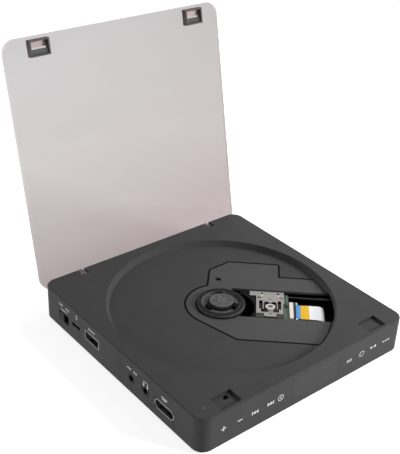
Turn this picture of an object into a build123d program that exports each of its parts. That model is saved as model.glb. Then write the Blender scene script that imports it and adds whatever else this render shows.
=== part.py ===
from build123d import *
import os
from math import acos, atan2, cos, pi, radians, sin, sqrt, tan

os.makedirs("parts", exist_ok=True)

# Compact square disc player: a flat case with a round well, a tinted lid hinged at
# the rear, and a disc drive set on a diagonal under the well.
# Millimetres. X runs to the right, Y to the rear, Z up. The origin is on the spindle's
# axis, in the plane that the feet stand on. The lid is drawn open, on its stop.

# Case
case_width = 140.0
case_depth = 140.0
case_top = 22.0
case_corner = 6.4
case_wall = 1.8
top_thickness = 2.0
top_edge_round = 0.8
bottom_edge_bevel = 1.3
bottom_thickness = 1.6
foot_height = 0.8
foot_radius = 4.5
foot_inset_x = 16.0
foot_inset_y = 18.0
seam_rise = 2.2
lip_thickness = 1.0
lip_height = 1.2
fit_gap = 0.1
boss_radius = 3.0
boss_gap_z = 4.6
screw_radius = 1.1
screw_head_radius = 2.3
screw_head = 1.3
screw_sink = 1.6
screw_length = 7.0
board_post_width = 3.4
light_x = -62.6
light_y = -62.4
light_radius = 0.5

# Disc well and the opening of the drive
well_rim_radius = 62.5
well_floor_radius = 60.7
well_depth = 3.4
well_floor_thickness = 1.4
dish_wall = 1.3
drive_angle = 42.0
cover_gap = 0.6
nose_radius = 19.3
cover_front = -30.2
cover_front_corner_u = 9.5
cover_back = 30.2
cover_step_u = 32.1
cover_top = 43.6
cover_top_u = 3.0
cover_shoulder_u = -7.6
cover_shoulder_v = 34.0
slot_start_u = 5.6
slot_front = -9.9
slot_back = 16.7
slot_reach = 74.0
turntable_opening = 13.9
tab_width = 6.0
tab_thickness = 1.2

# Disc drive
disc_bore_radius = 7.5
turntable_radius = 13.0
turntable_low = 18.3
turntable_thickness = 1.9
mat_outer = 12.7
mat_inner = 10.9
mat_thickness = 0.4
hub_clearance = 0.15
hub_top = 21.6
spindle_radius = 1.0
bearing_radius = 3.0
rotor_radius = 11.5
rotor_low = 9.4
rotor_top = 16.4
rotor_wall = 1.0
jaw_count = 3
jaw_width = 2.8
jaw_inner = 4.3
jaw_reach = 7.9
jaw_height = 1.2
jaw_side_gap = 0.15
jaw_slot_inner = 6.5
jaw_slot_length = 2.9
jaw_travel = 0.8
jaw_angle = -60.0
running_gap = 0.03
press_gap = 0.01

# Sled and its guides, with the lens at the radius that it has in the drawing
lens_radius_now = 27.0
lens_radius_least = 23.4
rod_radius = 1.5
rod_height = 12.0
rod_gap = 0.05
main_rod_v = -15.0
sub_rod_v = 20.5
main_rod_start = 3.2
main_rod_end = 71.5
sub_rod_end = 66.0
bracket_thickness = 3.0
bracket_width = 5.4
bracket_top = 14.2
sled_low = 9.0
sled_top = 17.6
sled_inner_u = 10.2
sled_outer_u = 37.0
sled_front = -9.3
sled_back = 16.3
arm_top = 15.0
arm_front = -18.0
arm_width = 5.0
fork_u = 24.5
fork_reach = 2.2
diode_u = 30.0
diode_z = 12.3
board_step = 0.8
pickup_plate = 0.4
lens_radius = 2.3
lens_thickness = 1.2
lens_bevel = 0.6
barrel_sink = 0.2
ribbon_width = 12.6
ribbon_thickness = 0.25
ribbon_centre_v = -1.5

# Feed gears
chassis_low = 7.0
chassis_thickness = 1.0
bush_thickness = 1.2
bush_radius = 3.4
post_width = 6.0
rack_module = 0.5
train_module = 0.4
rack_back = 1.5
rack_low = 12.6
rack_height = 2.0
rack_start = -10.0
rack_end = 30.6
pinion_teeth = 14
final_teeth = 34
idler_teeth = 36
idler_pinion_teeth = 12
motor_teeth = 10
final_u = 24.0
final_to_idler = 210.0
idler_to_motor = 170.0
tooth_play = 0.07
axle_radius = 0.75
gear_gap = 0.3
final_face = 1.5
idler_face = 1.7
idler_face_low = 10.2
motor_radius = 6.0

# Boards and ports on the left side
port_board_low = 6.2
board_thickness = 1.2
main_board_low = 3.4
jack_bore = 1.8
jack_nose = 2.9
jack_depth = 11.0
jack_height = 11.15
av_jack_y = -14.9
phone_jack_y = -26.7
video_y = -41.9
video_z = 10.3
video_width = 15.0
video_height = 5.6
usb_y = 21.1
usb_z = 12.6
usb_width = 13.1
usb_height = 5.7
usb_depth = 13.8
power_y = 36.4
power_z = 12.4
power_width = 8.9
power_height = 3.3
metal_skin = 0.3
port_gap = 0.2
switch_y = 49.0
switch_z = 10.5
switch_slot = 10.4
switch_slot_height = 5.8
knob_length = 5.6
knob_height = 5.2
knob_travel = 4.2

# Lid, drawn in its own frame: closed it lies flat, and the frame turns with it
lid_open_angle = 101.4
lid_thickness = 2.0
lid_depth = 139.6
lid_corner = 7.5
lid_gap = 2.0
hinge_inset = 3.35
hinge_drop = 3.3
hinge_x = 45.7
hinge_arm_width = 4.0
hinge_arm_front = 2.3
hinge_hub_radius = 2.2
hinge_pin_radius = 0.8
hinge_pin_length = 9.2
notch_gap = 0.35
notch_floor_gap = 1.0
latch_side_inset = 19.55
latch_inset = 6.0
latch_width = 11.8
latch_depth = 8.8
latch_proud = 3.4
latch_gap = 0.3
latch_wall = 0.9
catch_floor_gap = 0.2
sensor_hole = 2.8

# Worked-out levels and frames
case_low = foot_height
seam_z = case_low + seam_rise
shell_inside = case_top - top_thickness
floor_inside = case_low + bottom_thickness
well_floor = case_top - well_depth
well_under = well_floor - well_floor_thickness
chassis_top = chassis_low + chassis_thickness
port_board_top = port_board_low + board_thickness
main_board_top = main_board_low + board_thickness
turntable_top = turntable_low + turntable_thickness
hub_seat = turntable_top - 0.8
hub_radius = disc_bore_radius - hub_clearance
rear_face = case_depth / 2
left_face = -case_width / 2
inner_left = left_face + case_wall
front_face = -case_depth / 2
hinge_y = rear_face - hinge_inset
hinge_z = case_top - hinge_drop
lid_under = hinge_drop + lid_gap
latch_x = case_width / 2 - latch_side_inset
latch_y = rear_face - lid_depth + latch_inset
catch_depth = latch_proud - lid_gap + catch_floor_gap
catch_floor = case_top - catch_depth
boss_points = [(-62.5, -56.0), (62.5, -56.0), (-62.5, 61.0), (62.5, 61.0)]
bush_points = [(-15.0, -15.0), (-15.0, 19.0), (60.0, -24.0), (57.0, 27.2)]
cover_tab_points = [(-21.2, 0.0), (14.0, 45.4), (34.5, -32.2), (-9.6, 28.0)]

drive = Plane(
    origin=(0, 0, 0),
    x_dir=(cos(radians(drive_angle)), -sin(radians(drive_angle)), 0),
    z_dir=(0, 0, 1),
)
lid_frame = Plane(
    origin=(0, hinge_y, hinge_z),
    x_dir=(1, 0, 0),
    z_dir=(0, sin(radians(lid_open_angle)), cos(radians(lid_open_angle))),
)


def side_plane(x):
    """Plane on the left side at x, seen from outside: its x runs to +Y, its y up."""
    return Plane(origin=(x, 0, 0), x_dir=(0, 1, 0), z_dir=(1, 0, 0))


def front_plane(y):
    """Plane on the front at y: its x runs to +X, its y up, its normal to the rear."""
    return Plane(origin=(0, y, 0), x_dir=(-1, 0, 0), z_dir=(0, 1, 0))


def drive_section(u, v, z):
    """Plane across the drive at a point of its frame: its normal runs along u."""
    return Plane(origin=drive.from_local_coords((u, v, z)), z_dir=drive.x_dir)


def from_drive(u, v):
    """Place of a point of the drive's frame in the case's frame."""
    turn = radians(drive_angle)
    return (u * cos(turn) + v * sin(turn), v * cos(turn) - u * sin(turn))


def finish(part, name):
    """Names the piece and writes it."""
    part.label = name
    export_step(part, f"parts/{name}.step")


def cover_outline(grow):
    """Outline of the drive's cover: a round nose round the spindle that runs
    by a tangent into the front edge, and a stepped shoulder at the back."""
    reach = sqrt(cover_front_corner_u**2 + cover_front**2)
    heading = atan2(cover_front, cover_front_corner_u)
    touch = heading - acos(nose_radius / reach)
    with BuildSketch(Plane.XY) as outline:
        with BuildLine():
            Polyline(
                (nose_radius * cos(touch), nose_radius * sin(touch)),
                (cover_front_corner_u, cover_front),
                (slot_reach, cover_front),
                (slot_reach, cover_back),
                (cover_step_u, cover_back),
                (cover_step_u, cover_top),
                (cover_top_u, cover_top),
                (cover_shoulder_u, cover_shoulder_v),
                (cover_shoulder_u - 0.4, sqrt(nose_radius**2 - (cover_shoulder_u - 0.4) ** 2)),
                close=True,
            )
        make_face()
        Circle(nose_radius)
        corner = outline.vertices().sort_by_distance((cover_front_corner_u, cover_front))[0]
        fillet(corner, 3.0)
        step = outline.vertices().sort_by_distance((cover_step_u, cover_top))[0]
        fillet(step, 1.5)
        if grow:
            offset(amount=grow, kind=Kind.INTERSECTION)
        Circle(well_floor_radius - cover_gap + grow, mode=Mode.INTERSECT)
    return outline.sketch


def tooth_width(radius, pitch, teeth):
    """Width of an involute tooth at a radius, thinned by the play."""
    base = pitch * cos(radians(20))
    slope = acos(min(1.0, base / max(radius, base)))
    rest = radians(20)
    half_angle = (pi / 2 / teeth) - tooth_play / 2 / pitch
    return 2 * radius * (half_angle + (tan(rest) - rest) - (tan(slope) - slope))


def gear_face(teeth, module, phase):
    """Face of a spur gear with one tooth's centre at the phase angle."""
    pitch = teeth * module / 2
    root = pitch - 1.2 * module
    tip = pitch + 0.9 * module
    inside = root - 0.1
    with BuildSketch(Plane.XY) as tooth:
        with BuildLine():
            Polyline(
                (inside, -tooth_width(root, pitch, teeth) / 2),
                (tip, -tooth_width(tip, pitch, teeth) / 2),
                (tip, tooth_width(tip, pitch, teeth) / 2),
                (inside, tooth_width(root, pitch, teeth) / 2),
                close=True,
            )
        make_face()
    with BuildSketch(Plane.XY) as face:
        RegularPolygon(root, teeth, rotation=phase)
        with PolarLocations(0, teeth, start_angle=phase):
            add(tooth.sketch)
    return face.sketch


# Upper case: one moulding with the round well, the notches for the hinge arms, the
# shallow seats of the lid's latches, the port openings and the screw bosses.
cover_opening = cover_outline(cover_gap)
with BuildPart() as upper_shell:
    with BuildSketch(Plane.XY.offset(seam_z)):
        RectangleRounded(case_width, case_depth, case_corner)
    extrude(amount=case_top - seam_z)
    fillet(upper_shell.faces().sort_by(Axis.Z)[-1].edges(), top_edge_round)
    with BuildSketch(Plane.XY.offset(seam_z)):
        RectangleRounded(
            case_width - 2 * case_wall, case_depth - 2 * case_wall, case_corner - case_wall
        )
    extrude(amount=shell_inside - seam_z, mode=Mode.SUBTRACT)
    with BuildSketch(Plane.XZ):
        with BuildLine():
            Polyline(
                (0, well_under),
                (well_floor_radius + dish_wall - 0.5, well_under),
                (well_rim_radius + dish_wall - 0.2, shell_inside + 0.5),
                (0, shell_inside + 0.5),
                close=True,
            )
        make_face()
    revolve(axis=Axis.Z)
    with BuildSketch(Plane.XZ):
        with BuildLine():
            Polyline(
                (0, well_floor),
                (well_floor_radius, well_floor),
                (well_rim_radius, case_top),
                (well_rim_radius, case_top + 1),
                (0, case_top + 1),
                close=True,
            )
        make_face()
    revolve(axis=Axis.Z, mode=Mode.SUBTRACT)
    with BuildSketch(drive.offset(well_under - 1)):
        add(cover_opening)
    extrude(amount=well_depth, mode=Mode.SUBTRACT)
    with BuildSketch(drive.offset(well_under - 1)):
        with Locations(((slot_reach + 50) / 2, (slot_front + slot_back) / 2)):
            Rectangle(slot_reach - 50, slot_back - slot_front)
    extrude(amount=shell_inside - well_under + 1, mode=Mode.SUBTRACT)
    with BuildSketch(Plane.XY.offset(boss_gap_z)):
        with Locations(*boss_points):
            Circle(boss_radius)
    extrude(amount=shell_inside - boss_gap_z)
    with BuildSketch(Plane.XY.offset(boss_gap_z)):
        with Locations(*boss_points):
            Circle(screw_radius + press_gap)
    extrude(amount=case_low + screw_sink + screw_length + 0.3 - boss_gap_z, mode=Mode.SUBTRACT)
    notch_low = hinge_z - hinge_hub_radius - notch_floor_gap
    notch_front = hinge_y - hinge_arm_front - notch_gap
    notch_width = hinge_arm_width + 2 * notch_gap
    with BuildSketch(Plane.XY.offset(notch_low - 1.4)):
        with Locations((-hinge_x, (notch_front + rear_face) / 2), (hinge_x, (notch_front + rear_face) / 2)):
            Rectangle(hinge_pin_length + 2.0, rear_face - notch_front - 0.2)
    extrude(amount=shell_inside - notch_low + 1.4)
    with BuildSketch(Plane.XY.offset(notch_low)):
        with Locations((-hinge_x, (notch_front + rear_face) / 2 + 1), (hinge_x, (notch_front + rear_face) / 2 + 1)):
            Rectangle(notch_width, rear_face - notch_front + 2)
    extrude(amount=case_top - notch_low + 1, mode=Mode.SUBTRACT)
    with Locations((-hinge_x, hinge_y, hinge_z), (hinge_x, hinge_y, hinge_z)):
        Cylinder(
            hinge_pin_radius + press_gap, hinge_pin_length, rotation=(0, 90, 0), mode=Mode.SUBTRACT
        )
    catch_width = latch_width + 2 * latch_gap
    catch_length = latch_depth + 2 * latch_gap
    with BuildSketch(Plane.XY.offset(catch_floor - top_thickness + 0.2)):
        with Locations((-latch_x, latch_y), (latch_x, latch_y)):
            Rectangle(catch_width + 2.6, catch_length + 2.6)
    extrude(amount=top_thickness - 0.2)
    with BuildSketch(Plane.XY.offset(catch_floor)):
        with Locations((-latch_x, latch_y), (latch_x, latch_y)):
            Rectangle(catch_width, catch_length)
    extrude(amount=catch_depth + 1, mode=Mode.SUBTRACT)
    with BuildSketch(Plane.XY.offset(catch_floor - 3)):
        with Locations((-latch_x + 1.8, latch_y + 2.5)):
            Rectangle(sensor_hole, sensor_hole)
    extrude(amount=4, mode=Mode.SUBTRACT)
    with BuildSketch(side_plane(left_face - 1)):
        with Locations((switch_y, switch_z)):
            RectangleRounded(switch_slot, switch_slot_height, 0.6)
        with Locations((power_y, power_z)):
            SlotOverall(power_width + 2 * port_gap, power_height + 2 * port_gap)
        with Locations((usb_y, usb_z)):
            Rectangle(usb_width + 2 * port_gap, usb_height + 2 * port_gap)
        with Locations((av_jack_y, jack_height), (phone_jack_y, jack_height)):
            Circle(jack_nose + port_gap)
        with Locations((video_y, video_z)):
            Rectangle(video_width + 2 * port_gap, video_height + 2 * port_gap)
    extrude(amount=case_wall + 1, mode=Mode.SUBTRACT)
    with BuildSketch(front_plane(front_face - 1)):
        with Locations((-4.0, 12.2)):
            RectangleRounded(33.2, 14.6, 0.8)
    extrude(amount=case_wall + 1, mode=Mode.SUBTRACT)
    with BuildSketch(Plane.XY.offset(shell_inside)):
        with Locations((light_x, light_y)):
            Circle(light_radius + press_gap)
    extrude(amount=top_thickness, mode=Mode.SUBTRACT)
finish(upper_shell.part, "upper_shell")

# Lower case: a shallow pan with a bevelled edge, a lip that locates the upper case,
# bosses for the case screws and posts for the drive's bushes and the boards
post_top = chassis_low - bush_thickness
foot_points = [
    (sx * (case_width / 2 - foot_inset_x), sy * (case_depth / 2 - foot_inset_y))
    for sx in (-1, 1)
    for sy in (-1, 1)
]
board_posts = [(-40.0, -50.0), (-40.0, 24.0), (46.0, 24.0), (50.0, -50.0)]
port_posts = [(-60.0, -24.0), (-60.0, 12.0), (-60.0, 46.0)]
with BuildPart() as lower_shell:
    with BuildSketch(Plane.XY.offset(case_low)):
        RectangleRounded(case_width, case_depth, case_corner)
    extrude(amount=seam_rise)
    chamfer(lower_shell.faces().sort_by(Axis.Z)[0].edges(), bottom_edge_bevel)
    lip_width = case_width - 2 * case_wall - 2 * fit_gap
    lip_depth = case_depth - 2 * case_wall - 2 * fit_gap
    with BuildSketch(Plane.XY.offset(seam_z)):
        RectangleRounded(lip_width, lip_depth, case_corner - case_wall - fit_gap)
    extrude(amount=lip_height)
    with BuildSketch(Plane.XY.offset(floor_inside)):
        RectangleRounded(
            lip_width - 2 * lip_thickness,
            lip_depth - 2 * lip_thickness,
            case_corner - case_wall - fit_gap - lip_thickness,
        )
    extrude(amount=seam_rise + lip_height, mode=Mode.SUBTRACT)
    with BuildSketch(Plane.XY.offset(floor_inside)):
        with Locations(*boss_points):
            Circle(boss_radius)
    extrude(amount=boss_gap_z - floor_inside)
    with BuildSketch(drive.offset(floor_inside)):
        with Locations(*bush_points):
            Rectangle(post_width, post_width)
    extrude(amount=post_top - floor_inside)
    with BuildSketch(Plane.XY.offset(floor_inside)):
        with Locations(*board_posts):
            Rectangle(board_post_width, board_post_width)
    extrude(amount=main_board_low - floor_inside)
    with BuildSketch(Plane.XY.offset(floor_inside)):
        with Locations(*port_posts):
            Rectangle(board_post_width, board_post_width)
    extrude(amount=port_board_low - floor_inside)
    with Locations(*[(x, y, case_low) for x, y in boss_points]):
        with Locations(Location((0, 0, 0), (180, 0, 0))):
            CounterBoreHole(screw_radius + 0.2, screw_head_radius + 0.3, screw_sink, boss_gap_z)
finish(lower_shell.part, "lower_shell")

# Rubber feet: low discs glued under the case
with BuildPart() as rubber_feet:
    with BuildSketch(Plane.XY):
        with Locations(*foot_points):
            Circle(foot_radius)
    extrude(amount=foot_height)
finish(rubber_feet.part, "rubber_feet")

# Case screws: flat heads sunk in the lower case, shanks in the upper case's bosses
with BuildPart() as case_screws:
    with BuildSketch(Plane.XY.offset(case_low + screw_sink - screw_head)):
        with Locations(*boss_points):
            Circle(screw_head_radius)
    extrude(amount=screw_head)
    with BuildSketch(Plane.XY.offset(case_low + screw_sink)):
        with Locations(*boss_points):
            Circle(screw_radius)
    extrude(amount=screw_length)
finish(case_screws.part, "case_screws")

# Display window: a smoked pane flush with the front, with a flange glued inside
window_x = 4.0
window_z = 12.2
with BuildPart() as display_window:
    with BuildSketch(front_plane(front_face)):
        with Locations((-window_x, window_z)):
            RectangleRounded(33.0, 14.4, 0.7)
    extrude(amount=case_wall)
    with BuildSketch(front_plane(front_face + case_wall)):
        with Locations((-window_x, window_z)):
            Rectangle(35.0, 15.2)
    extrude(amount=0.8)
finish(display_window.part, "display_window")

# Display module: a block of lit digits that lies against the window's back
module_front = front_face + case_wall + 0.8
with BuildPart() as display_module:
    with BuildSketch(front_plane(module_front)):
        with Locations((-window_x, window_z)):
            Rectangle(28.0, 10.5)
    extrude(amount=4.6)
finish(display_module.part, "display_module")

# Touch key boards: thin boards stuck behind the front, one each side of the window
with BuildPart() as touch_key_boards:
    with BuildSketch(front_plane(front_face + case_wall)):
        with Locations((39.0, 11.5), (-42.0, 11.5)):
            Rectangle(39.6, 10.0)
    extrude(amount=0.4)
finish(touch_key_boards.part, "touch_key_boards")

# Status light: a clear pipe through the top, with a square foot under it
with BuildPart() as status_light:
    with BuildSketch(Plane.XY.offset(shell_inside)):
        with Locations((light_x, light_y)):
            Circle(light_radius)
    extrude(amount=top_thickness)
    with BuildSketch(Plane.XY.offset(shell_inside - 0.8)):
        with Locations((light_x, light_y)):
            Rectangle(2.4, 2.4)
    extrude(amount=0.8)
finish(status_light.part, "status_light")

# Cover of the drive: a plate flush with the well's floor, with the sled's slot, the
# round opening of the turntable, a square locating hole and tabs that lie under the
# well's floor
with BuildPart() as drive_cover:
    with BuildSketch(drive.offset(well_under)):
        add(cover_outline(0))
        Circle(turntable_opening, mode=Mode.SUBTRACT)
        with Locations(((slot_start_u + slot_reach) / 2, (slot_front + slot_back) / 2)):
            Rectangle(slot_reach - slot_start_u, slot_back - slot_front, mode=Mode.SUBTRACT)
        with Locations((-2.4, 24.8)):
            Rectangle(2.9, 2.9, mode=Mode.SUBTRACT)
    extrude(amount=well_floor_thickness)
    with BuildSketch(drive.offset(well_under - tab_thickness)):
        with Locations(*cover_tab_points):
            Rectangle(tab_width, tab_width)
    extrude(amount=tab_thickness)
finish(drive_cover.part, "drive_cover")

# Drive chassis: a punched steel plate with a window for the sled, a hole for the
# spindle's bearing and one for the feed motor; two riveted pins carry the feed gears
pitch_line_v = arm_front - rack_back - 1.2 * rack_module
final_v = pitch_line_v - pinion_teeth * rack_module / 2
idler_reach = (idler_pinion_teeth + final_teeth) * train_module / 2
idler_u = final_u + idler_reach * cos(radians(final_to_idler))
idler_v = final_v + idler_reach * sin(radians(final_to_idler))
motor_reach = (idler_teeth + motor_teeth) * train_module / 2
motor_u = idler_u + motor_reach * cos(radians(idler_to_motor))
motor_v = idler_v + motor_reach * sin(radians(idler_to_motor))
final_face_low = arm_top + gear_gap
gear_pin_top = final_face_low + final_face + 0.1
with BuildPart() as drive_chassis:
    with BuildSketch(drive.offset(chassis_low)):
        with BuildLine():
            Polyline(
                (-20, -20),
                (-3, -20),
                (-3, -37),
                (34, -37),
                (34, -21),
                (55, -21),
                (55, -28),
                (66, -28),
                (72.5, -20),
                (72.5, 8),
                (66.5, 24.5),
                (61.5, 31.4),
                (52.5, 31.4),
                (52.5, 24.5),
                (-20, 24.5),
                close=True,
            )
        make_face()
        with Locations((38, 2.7)):
            RectangleRounded(57, 28.6, 2.0, mode=Mode.SUBTRACT)
        Circle(bearing_radius + 0.3, mode=Mode.SUBTRACT)
        with Locations((motor_u, motor_v)):
            Circle(motor_radius + 0.2, mode=Mode.SUBTRACT)
    extrude(amount=chassis_thickness)
    with BuildSketch(drive.offset(chassis_low)):
        with Locations((final_u, final_v), (idler_u, idler_v)):
            Circle(axle_radius)
    extrude(amount=gear_pin_top - chassis_low)
finish(drive_chassis.part, "drive_chassis")

# Bushes: rubber pads between the posts and the chassis
with BuildPart() as bushes:
    with BuildSketch(drive.offset(post_top)):
        with Locations(*bush_points):
            Circle(bush_radius)
    extrude(amount=bush_thickness)
finish(bushes.part, "bushes")

# Guide rods and the four brackets that hold their ends
with BuildPart() as guide_rods:
    for v, end in ((main_rod_v, main_rod_end), (sub_rod_v, sub_rod_end)):
        with BuildSketch(drive_section(main_rod_start, v, rod_height)):
            Circle(rod_radius)
        extrude(amount=end - main_rod_start)
finish(guide_rods.part, "guide_rods")

bracket_points = [
    (main_rod_start + 1.3, main_rod_v),
    (main_rod_end - 1.3, main_rod_v),
    (main_rod_start + 1.3, sub_rod_v),
    (sub_rod_end - 1.3, sub_rod_v),
]
with BuildPart() as rod_brackets:
    with BuildSketch(drive.offset(chassis_top)):
        with Locations(*bracket_points):
            Rectangle(bracket_thickness, bracket_width)
    extrude(amount=bracket_top - chassis_top)
    chamfer(rod_brackets.edges().filter_by(lambda edge: abs(edge.center().Z - bracket_top) < 0.01
            and abs(edge.tangent_at(0).dot(drive.x_dir)) > 0.9), 1.0)
    for start, end, v in (
        (main_rod_start, main_rod_end, main_rod_v),
        (main_rod_start, sub_rod_end, sub_rod_v),
    ):
        with BuildSketch(drive_section(start, v, rod_height)):
            Circle(rod_radius + press_gap)
        extrude(amount=end - start, mode=Mode.SUBTRACT)
finish(rod_brackets.part, "rod_brackets")

# Spindle motor: a base board with the bearing housing, a stator with six poles,
# the rotor cup and the shaft
with BuildPart() as spindle_base:
    with BuildSketch(drive.offset(chassis_top)):
        Circle(rotor_radius)
        with Locations((-12.5, 0)):
            Rectangle(11.0, 8.0)
    extrude(amount=0.8)
    with BuildSketch(drive.offset(chassis_low - 1.0)):
        Circle(bearing_radius)
    extrude(amount=rotor_top - rotor_wall - 1.0 - chassis_low + 1.0)
    with BuildSketch(drive.offset(chassis_low - 0.4)):
        Circle(spindle_radius + running_gap)
    extrude(amount=rotor_top, mode=Mode.SUBTRACT)
finish(spindle_base.part, "spindle_base")

with BuildPart() as spindle_stator:
    with BuildSketch(drive.offset(chassis_top + 2.2)):
        Circle(bearing_radius + 1.6)
        with PolarLocations(0, 6):
            with Locations((6.0, 0)):
                Rectangle(5.0, 2.2)
            with Locations((8.9, 0)):
                Rectangle(1.2, 6.0)
        Circle(bearing_radius + press_gap, mode=Mode.SUBTRACT)
    extrude(amount=3.4)
finish(spindle_stator.part, "spindle_stator")

with BuildPart() as spindle_rotor:
    with BuildSketch(drive.offset(rotor_low)):
        Circle(rotor_radius)
    extrude(amount=rotor_top - rotor_low)
    with BuildSketch(drive.offset(rotor_low)):
        Circle(rotor_radius - rotor_wall)
    extrude(amount=rotor_top - rotor_wall - rotor_low, mode=Mode.SUBTRACT)
    with BuildSketch(drive.offset(rotor_top)):
        Circle(3.4)
    extrude(amount=turntable_low - rotor_top)
    with BuildSketch(drive.offset(rotor_low)):
        Circle(spindle_radius + press_gap)
    extrude(amount=turntable_low, mode=Mode.SUBTRACT)
finish(spindle_rotor.part, "spindle_rotor")

shaft_low = chassis_low - 0.3
shaft_top = hub_top - 0.8
with BuildPart() as spindle_shaft:
    with BuildSketch(drive.offset(shaft_low)):
        Circle(spindle_radius)
    extrude(amount=shaft_top - shaft_low)
finish(spindle_shaft.part, "spindle_shaft")

# Turntable: a turned disc with a rim for the rubber mat and a dished middle
with BuildPart() as turntable:
    with BuildSketch(Plane.XZ):
        with BuildLine():
            Polyline(
                (spindle_radius + press_gap, turntable_low),
                (turntable_radius - 1.0, turntable_low),
                (turntable_radius, turntable_low + 0.8),
                (turntable_radius, turntable_top),
                (mat_inner - 0.5, turntable_top),
                (mat_inner - 0.9, hub_seat),
                (spindle_radius + press_gap, hub_seat),
                close=True,
            )
        make_face()
    revolve(axis=Axis.Z)
    with BuildSketch(Plane.XY.offset(hub_seat - 0.6)):
        with PolarLocations(jaw_slot_inner, jaw_count, start_angle=jaw_angle):
            Rectangle(jaw_slot_length, jaw_width + 0.6, align=(Align.MIN, Align.CENTER))
    extrude(amount=1.0, mode=Mode.SUBTRACT)
finish(turntable.part, "turntable")

# Turntable mat: the rubber ring that the disc lies on
with BuildPart() as turntable_mat:
    with BuildSketch(Plane.XY.offset(turntable_top)):
        Circle(mat_outer)
        Circle(mat_inner, mode=Mode.SUBTRACT)
    extrude(amount=mat_thickness)
finish(turntable_mat.part, "turntable_mat")

# Chuck hub: a crowned cap with three pockets for the jaws, a sunk ring with six
# small holes on its top and a dimple over the shaft
jaw_low = hub_seat + 0.1
pocket_top = jaw_low + jaw_height + 0.1
with BuildPart() as chuck_hub:
    with BuildSketch(Plane.XZ):
        with BuildLine():
            Polyline(
                (0, hub_top),
                (2.6, hub_top),
                (2.8, hub_top - 0.25),
                (5.2, hub_top - 0.25),
                (5.4, hub_top),
                (6.2, hub_top),
                (hub_radius, hub_top - 1.1),
                (hub_radius, hub_seat),
                (spindle_radius + press_gap, hub_seat),
                (spindle_radius + press_gap, shaft_top + 0.1),
                (0, shaft_top + 0.1),
                close=True,
            )
        make_face()
    revolve(axis=Axis.Z)
    with BuildSketch(Plane.XY.offset(hub_seat)):
        with PolarLocations(jaw_inner - jaw_travel - 0.2, jaw_count, start_angle=jaw_angle):
            Rectangle(6.0, jaw_width + 2 * jaw_side_gap, align=(Align.MIN, Align.CENTER))
    extrude(amount=pocket_top - hub_seat, mode=Mode.SUBTRACT)
    with BuildSketch(Plane.XY.offset(hub_top - 0.45)):
        with PolarLocations(4.0, 6, start_angle=jaw_angle + 30):
            Circle(0.45)
    extrude(amount=1.0, mode=Mode.SUBTRACT)
finish(chuck_hub.part, "chuck_hub")

# Chuck jaws: sprung wedges that pass the disc's bore and press it on the mat
for index in range(jaw_count):
    turn = radians(jaw_angle + 360 * index / jaw_count)
    jaw_plane = Plane(
        origin=(0, 0, jaw_low), x_dir=(cos(turn), sin(turn), 0), z_dir=(sin(turn), -cos(turn), 0)
    )
    with BuildPart() as chuck_jaw:
        with BuildSketch(jaw_plane.offset(-jaw_width / 2)):
            with BuildLine():
                Polyline(
                    (jaw_inner, 0),
                    (jaw_reach - 0.3, 0),
                    (jaw_reach, jaw_height / 2),
                    (jaw_reach - 0.7, jaw_height),
                    (jaw_inner, jaw_height),
                    close=True,
                )
            make_face()
        extrude(amount=jaw_width)
    finish(chuck_jaw.part, f"chuck_jaw_{index + 1}")

# Pickup body: the cast base of the sled, scooped round the spindle motor, with two
# arms on the main rod, a fork on the sub rod and a pit for the lens's actuator
scoop_radius = turntable_radius + 2.0
scoop_u = lens_radius_now - lens_radius_least
pit_low = 12.5
board_edge_u = lens_radius_now + 7.2
arm_u = [sled_inner_u + 4.8, sled_outer_u - 3.5]
with BuildPart() as pickup_body:
    with BuildSketch(drive.offset(sled_low)):
        with BuildLine():
            Polyline(
                (sled_inner_u, sled_front),
                (sled_outer_u, sled_front),
                (sled_outer_u, sled_back),
                (sled_inner_u, sled_back),
                close=True,
            )
        make_face()
        with Locations((scoop_u, 0)):
            Circle(scoop_radius, mode=Mode.SUBTRACT)
    extrude(amount=sled_top - sled_low)
    with BuildSketch(drive.offset(sled_low)):
        for centre in arm_u:
            with Locations((centre, (arm_front + sled_front) / 2)):
                Rectangle(arm_width, sled_front - arm_front)
    extrude(amount=arm_top - sled_low)
    with BuildSketch(drive.offset(sled_low)):
        with Locations((fork_u, (sled_back + sub_rod_v + fork_reach) / 2)):
            Rectangle(arm_width, sub_rod_v + fork_reach - sled_back)
    extrude(amount=arm_top - sled_low)
    with BuildSketch(drive_section(0, main_rod_v, rod_height)):
        Circle(rod_radius + rod_gap)
    extrude(amount=sled_outer_u + 1, mode=Mode.SUBTRACT)
    with BuildSketch(drive.offset(rod_height - rod_radius - rod_gap)):
        with Locations((fork_u, sub_rod_v + 1.0)):
            Rectangle(arm_width + 1, 2 * (rod_radius + rod_gap) + 2.0)
    extrude(amount=2 * (rod_radius + rod_gap), mode=Mode.SUBTRACT)
    with BuildSketch(drive.offset(pit_low)):
        with Locations((lens_radius_now, 1.2)):
            Rectangle(13.2, 13.6)
    extrude(amount=sled_top, mode=Mode.SUBTRACT)
    with BuildSketch(drive.offset(sled_top - board_step)):
        with Locations((board_edge_u + 5, (sled_front + sled_back) / 2)):
            Rectangle(10, sled_back - sled_front + 1)
    extrude(amount=board_step + 1, mode=Mode.SUBTRACT)
finish(pickup_body.part, "pickup_body")

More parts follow.
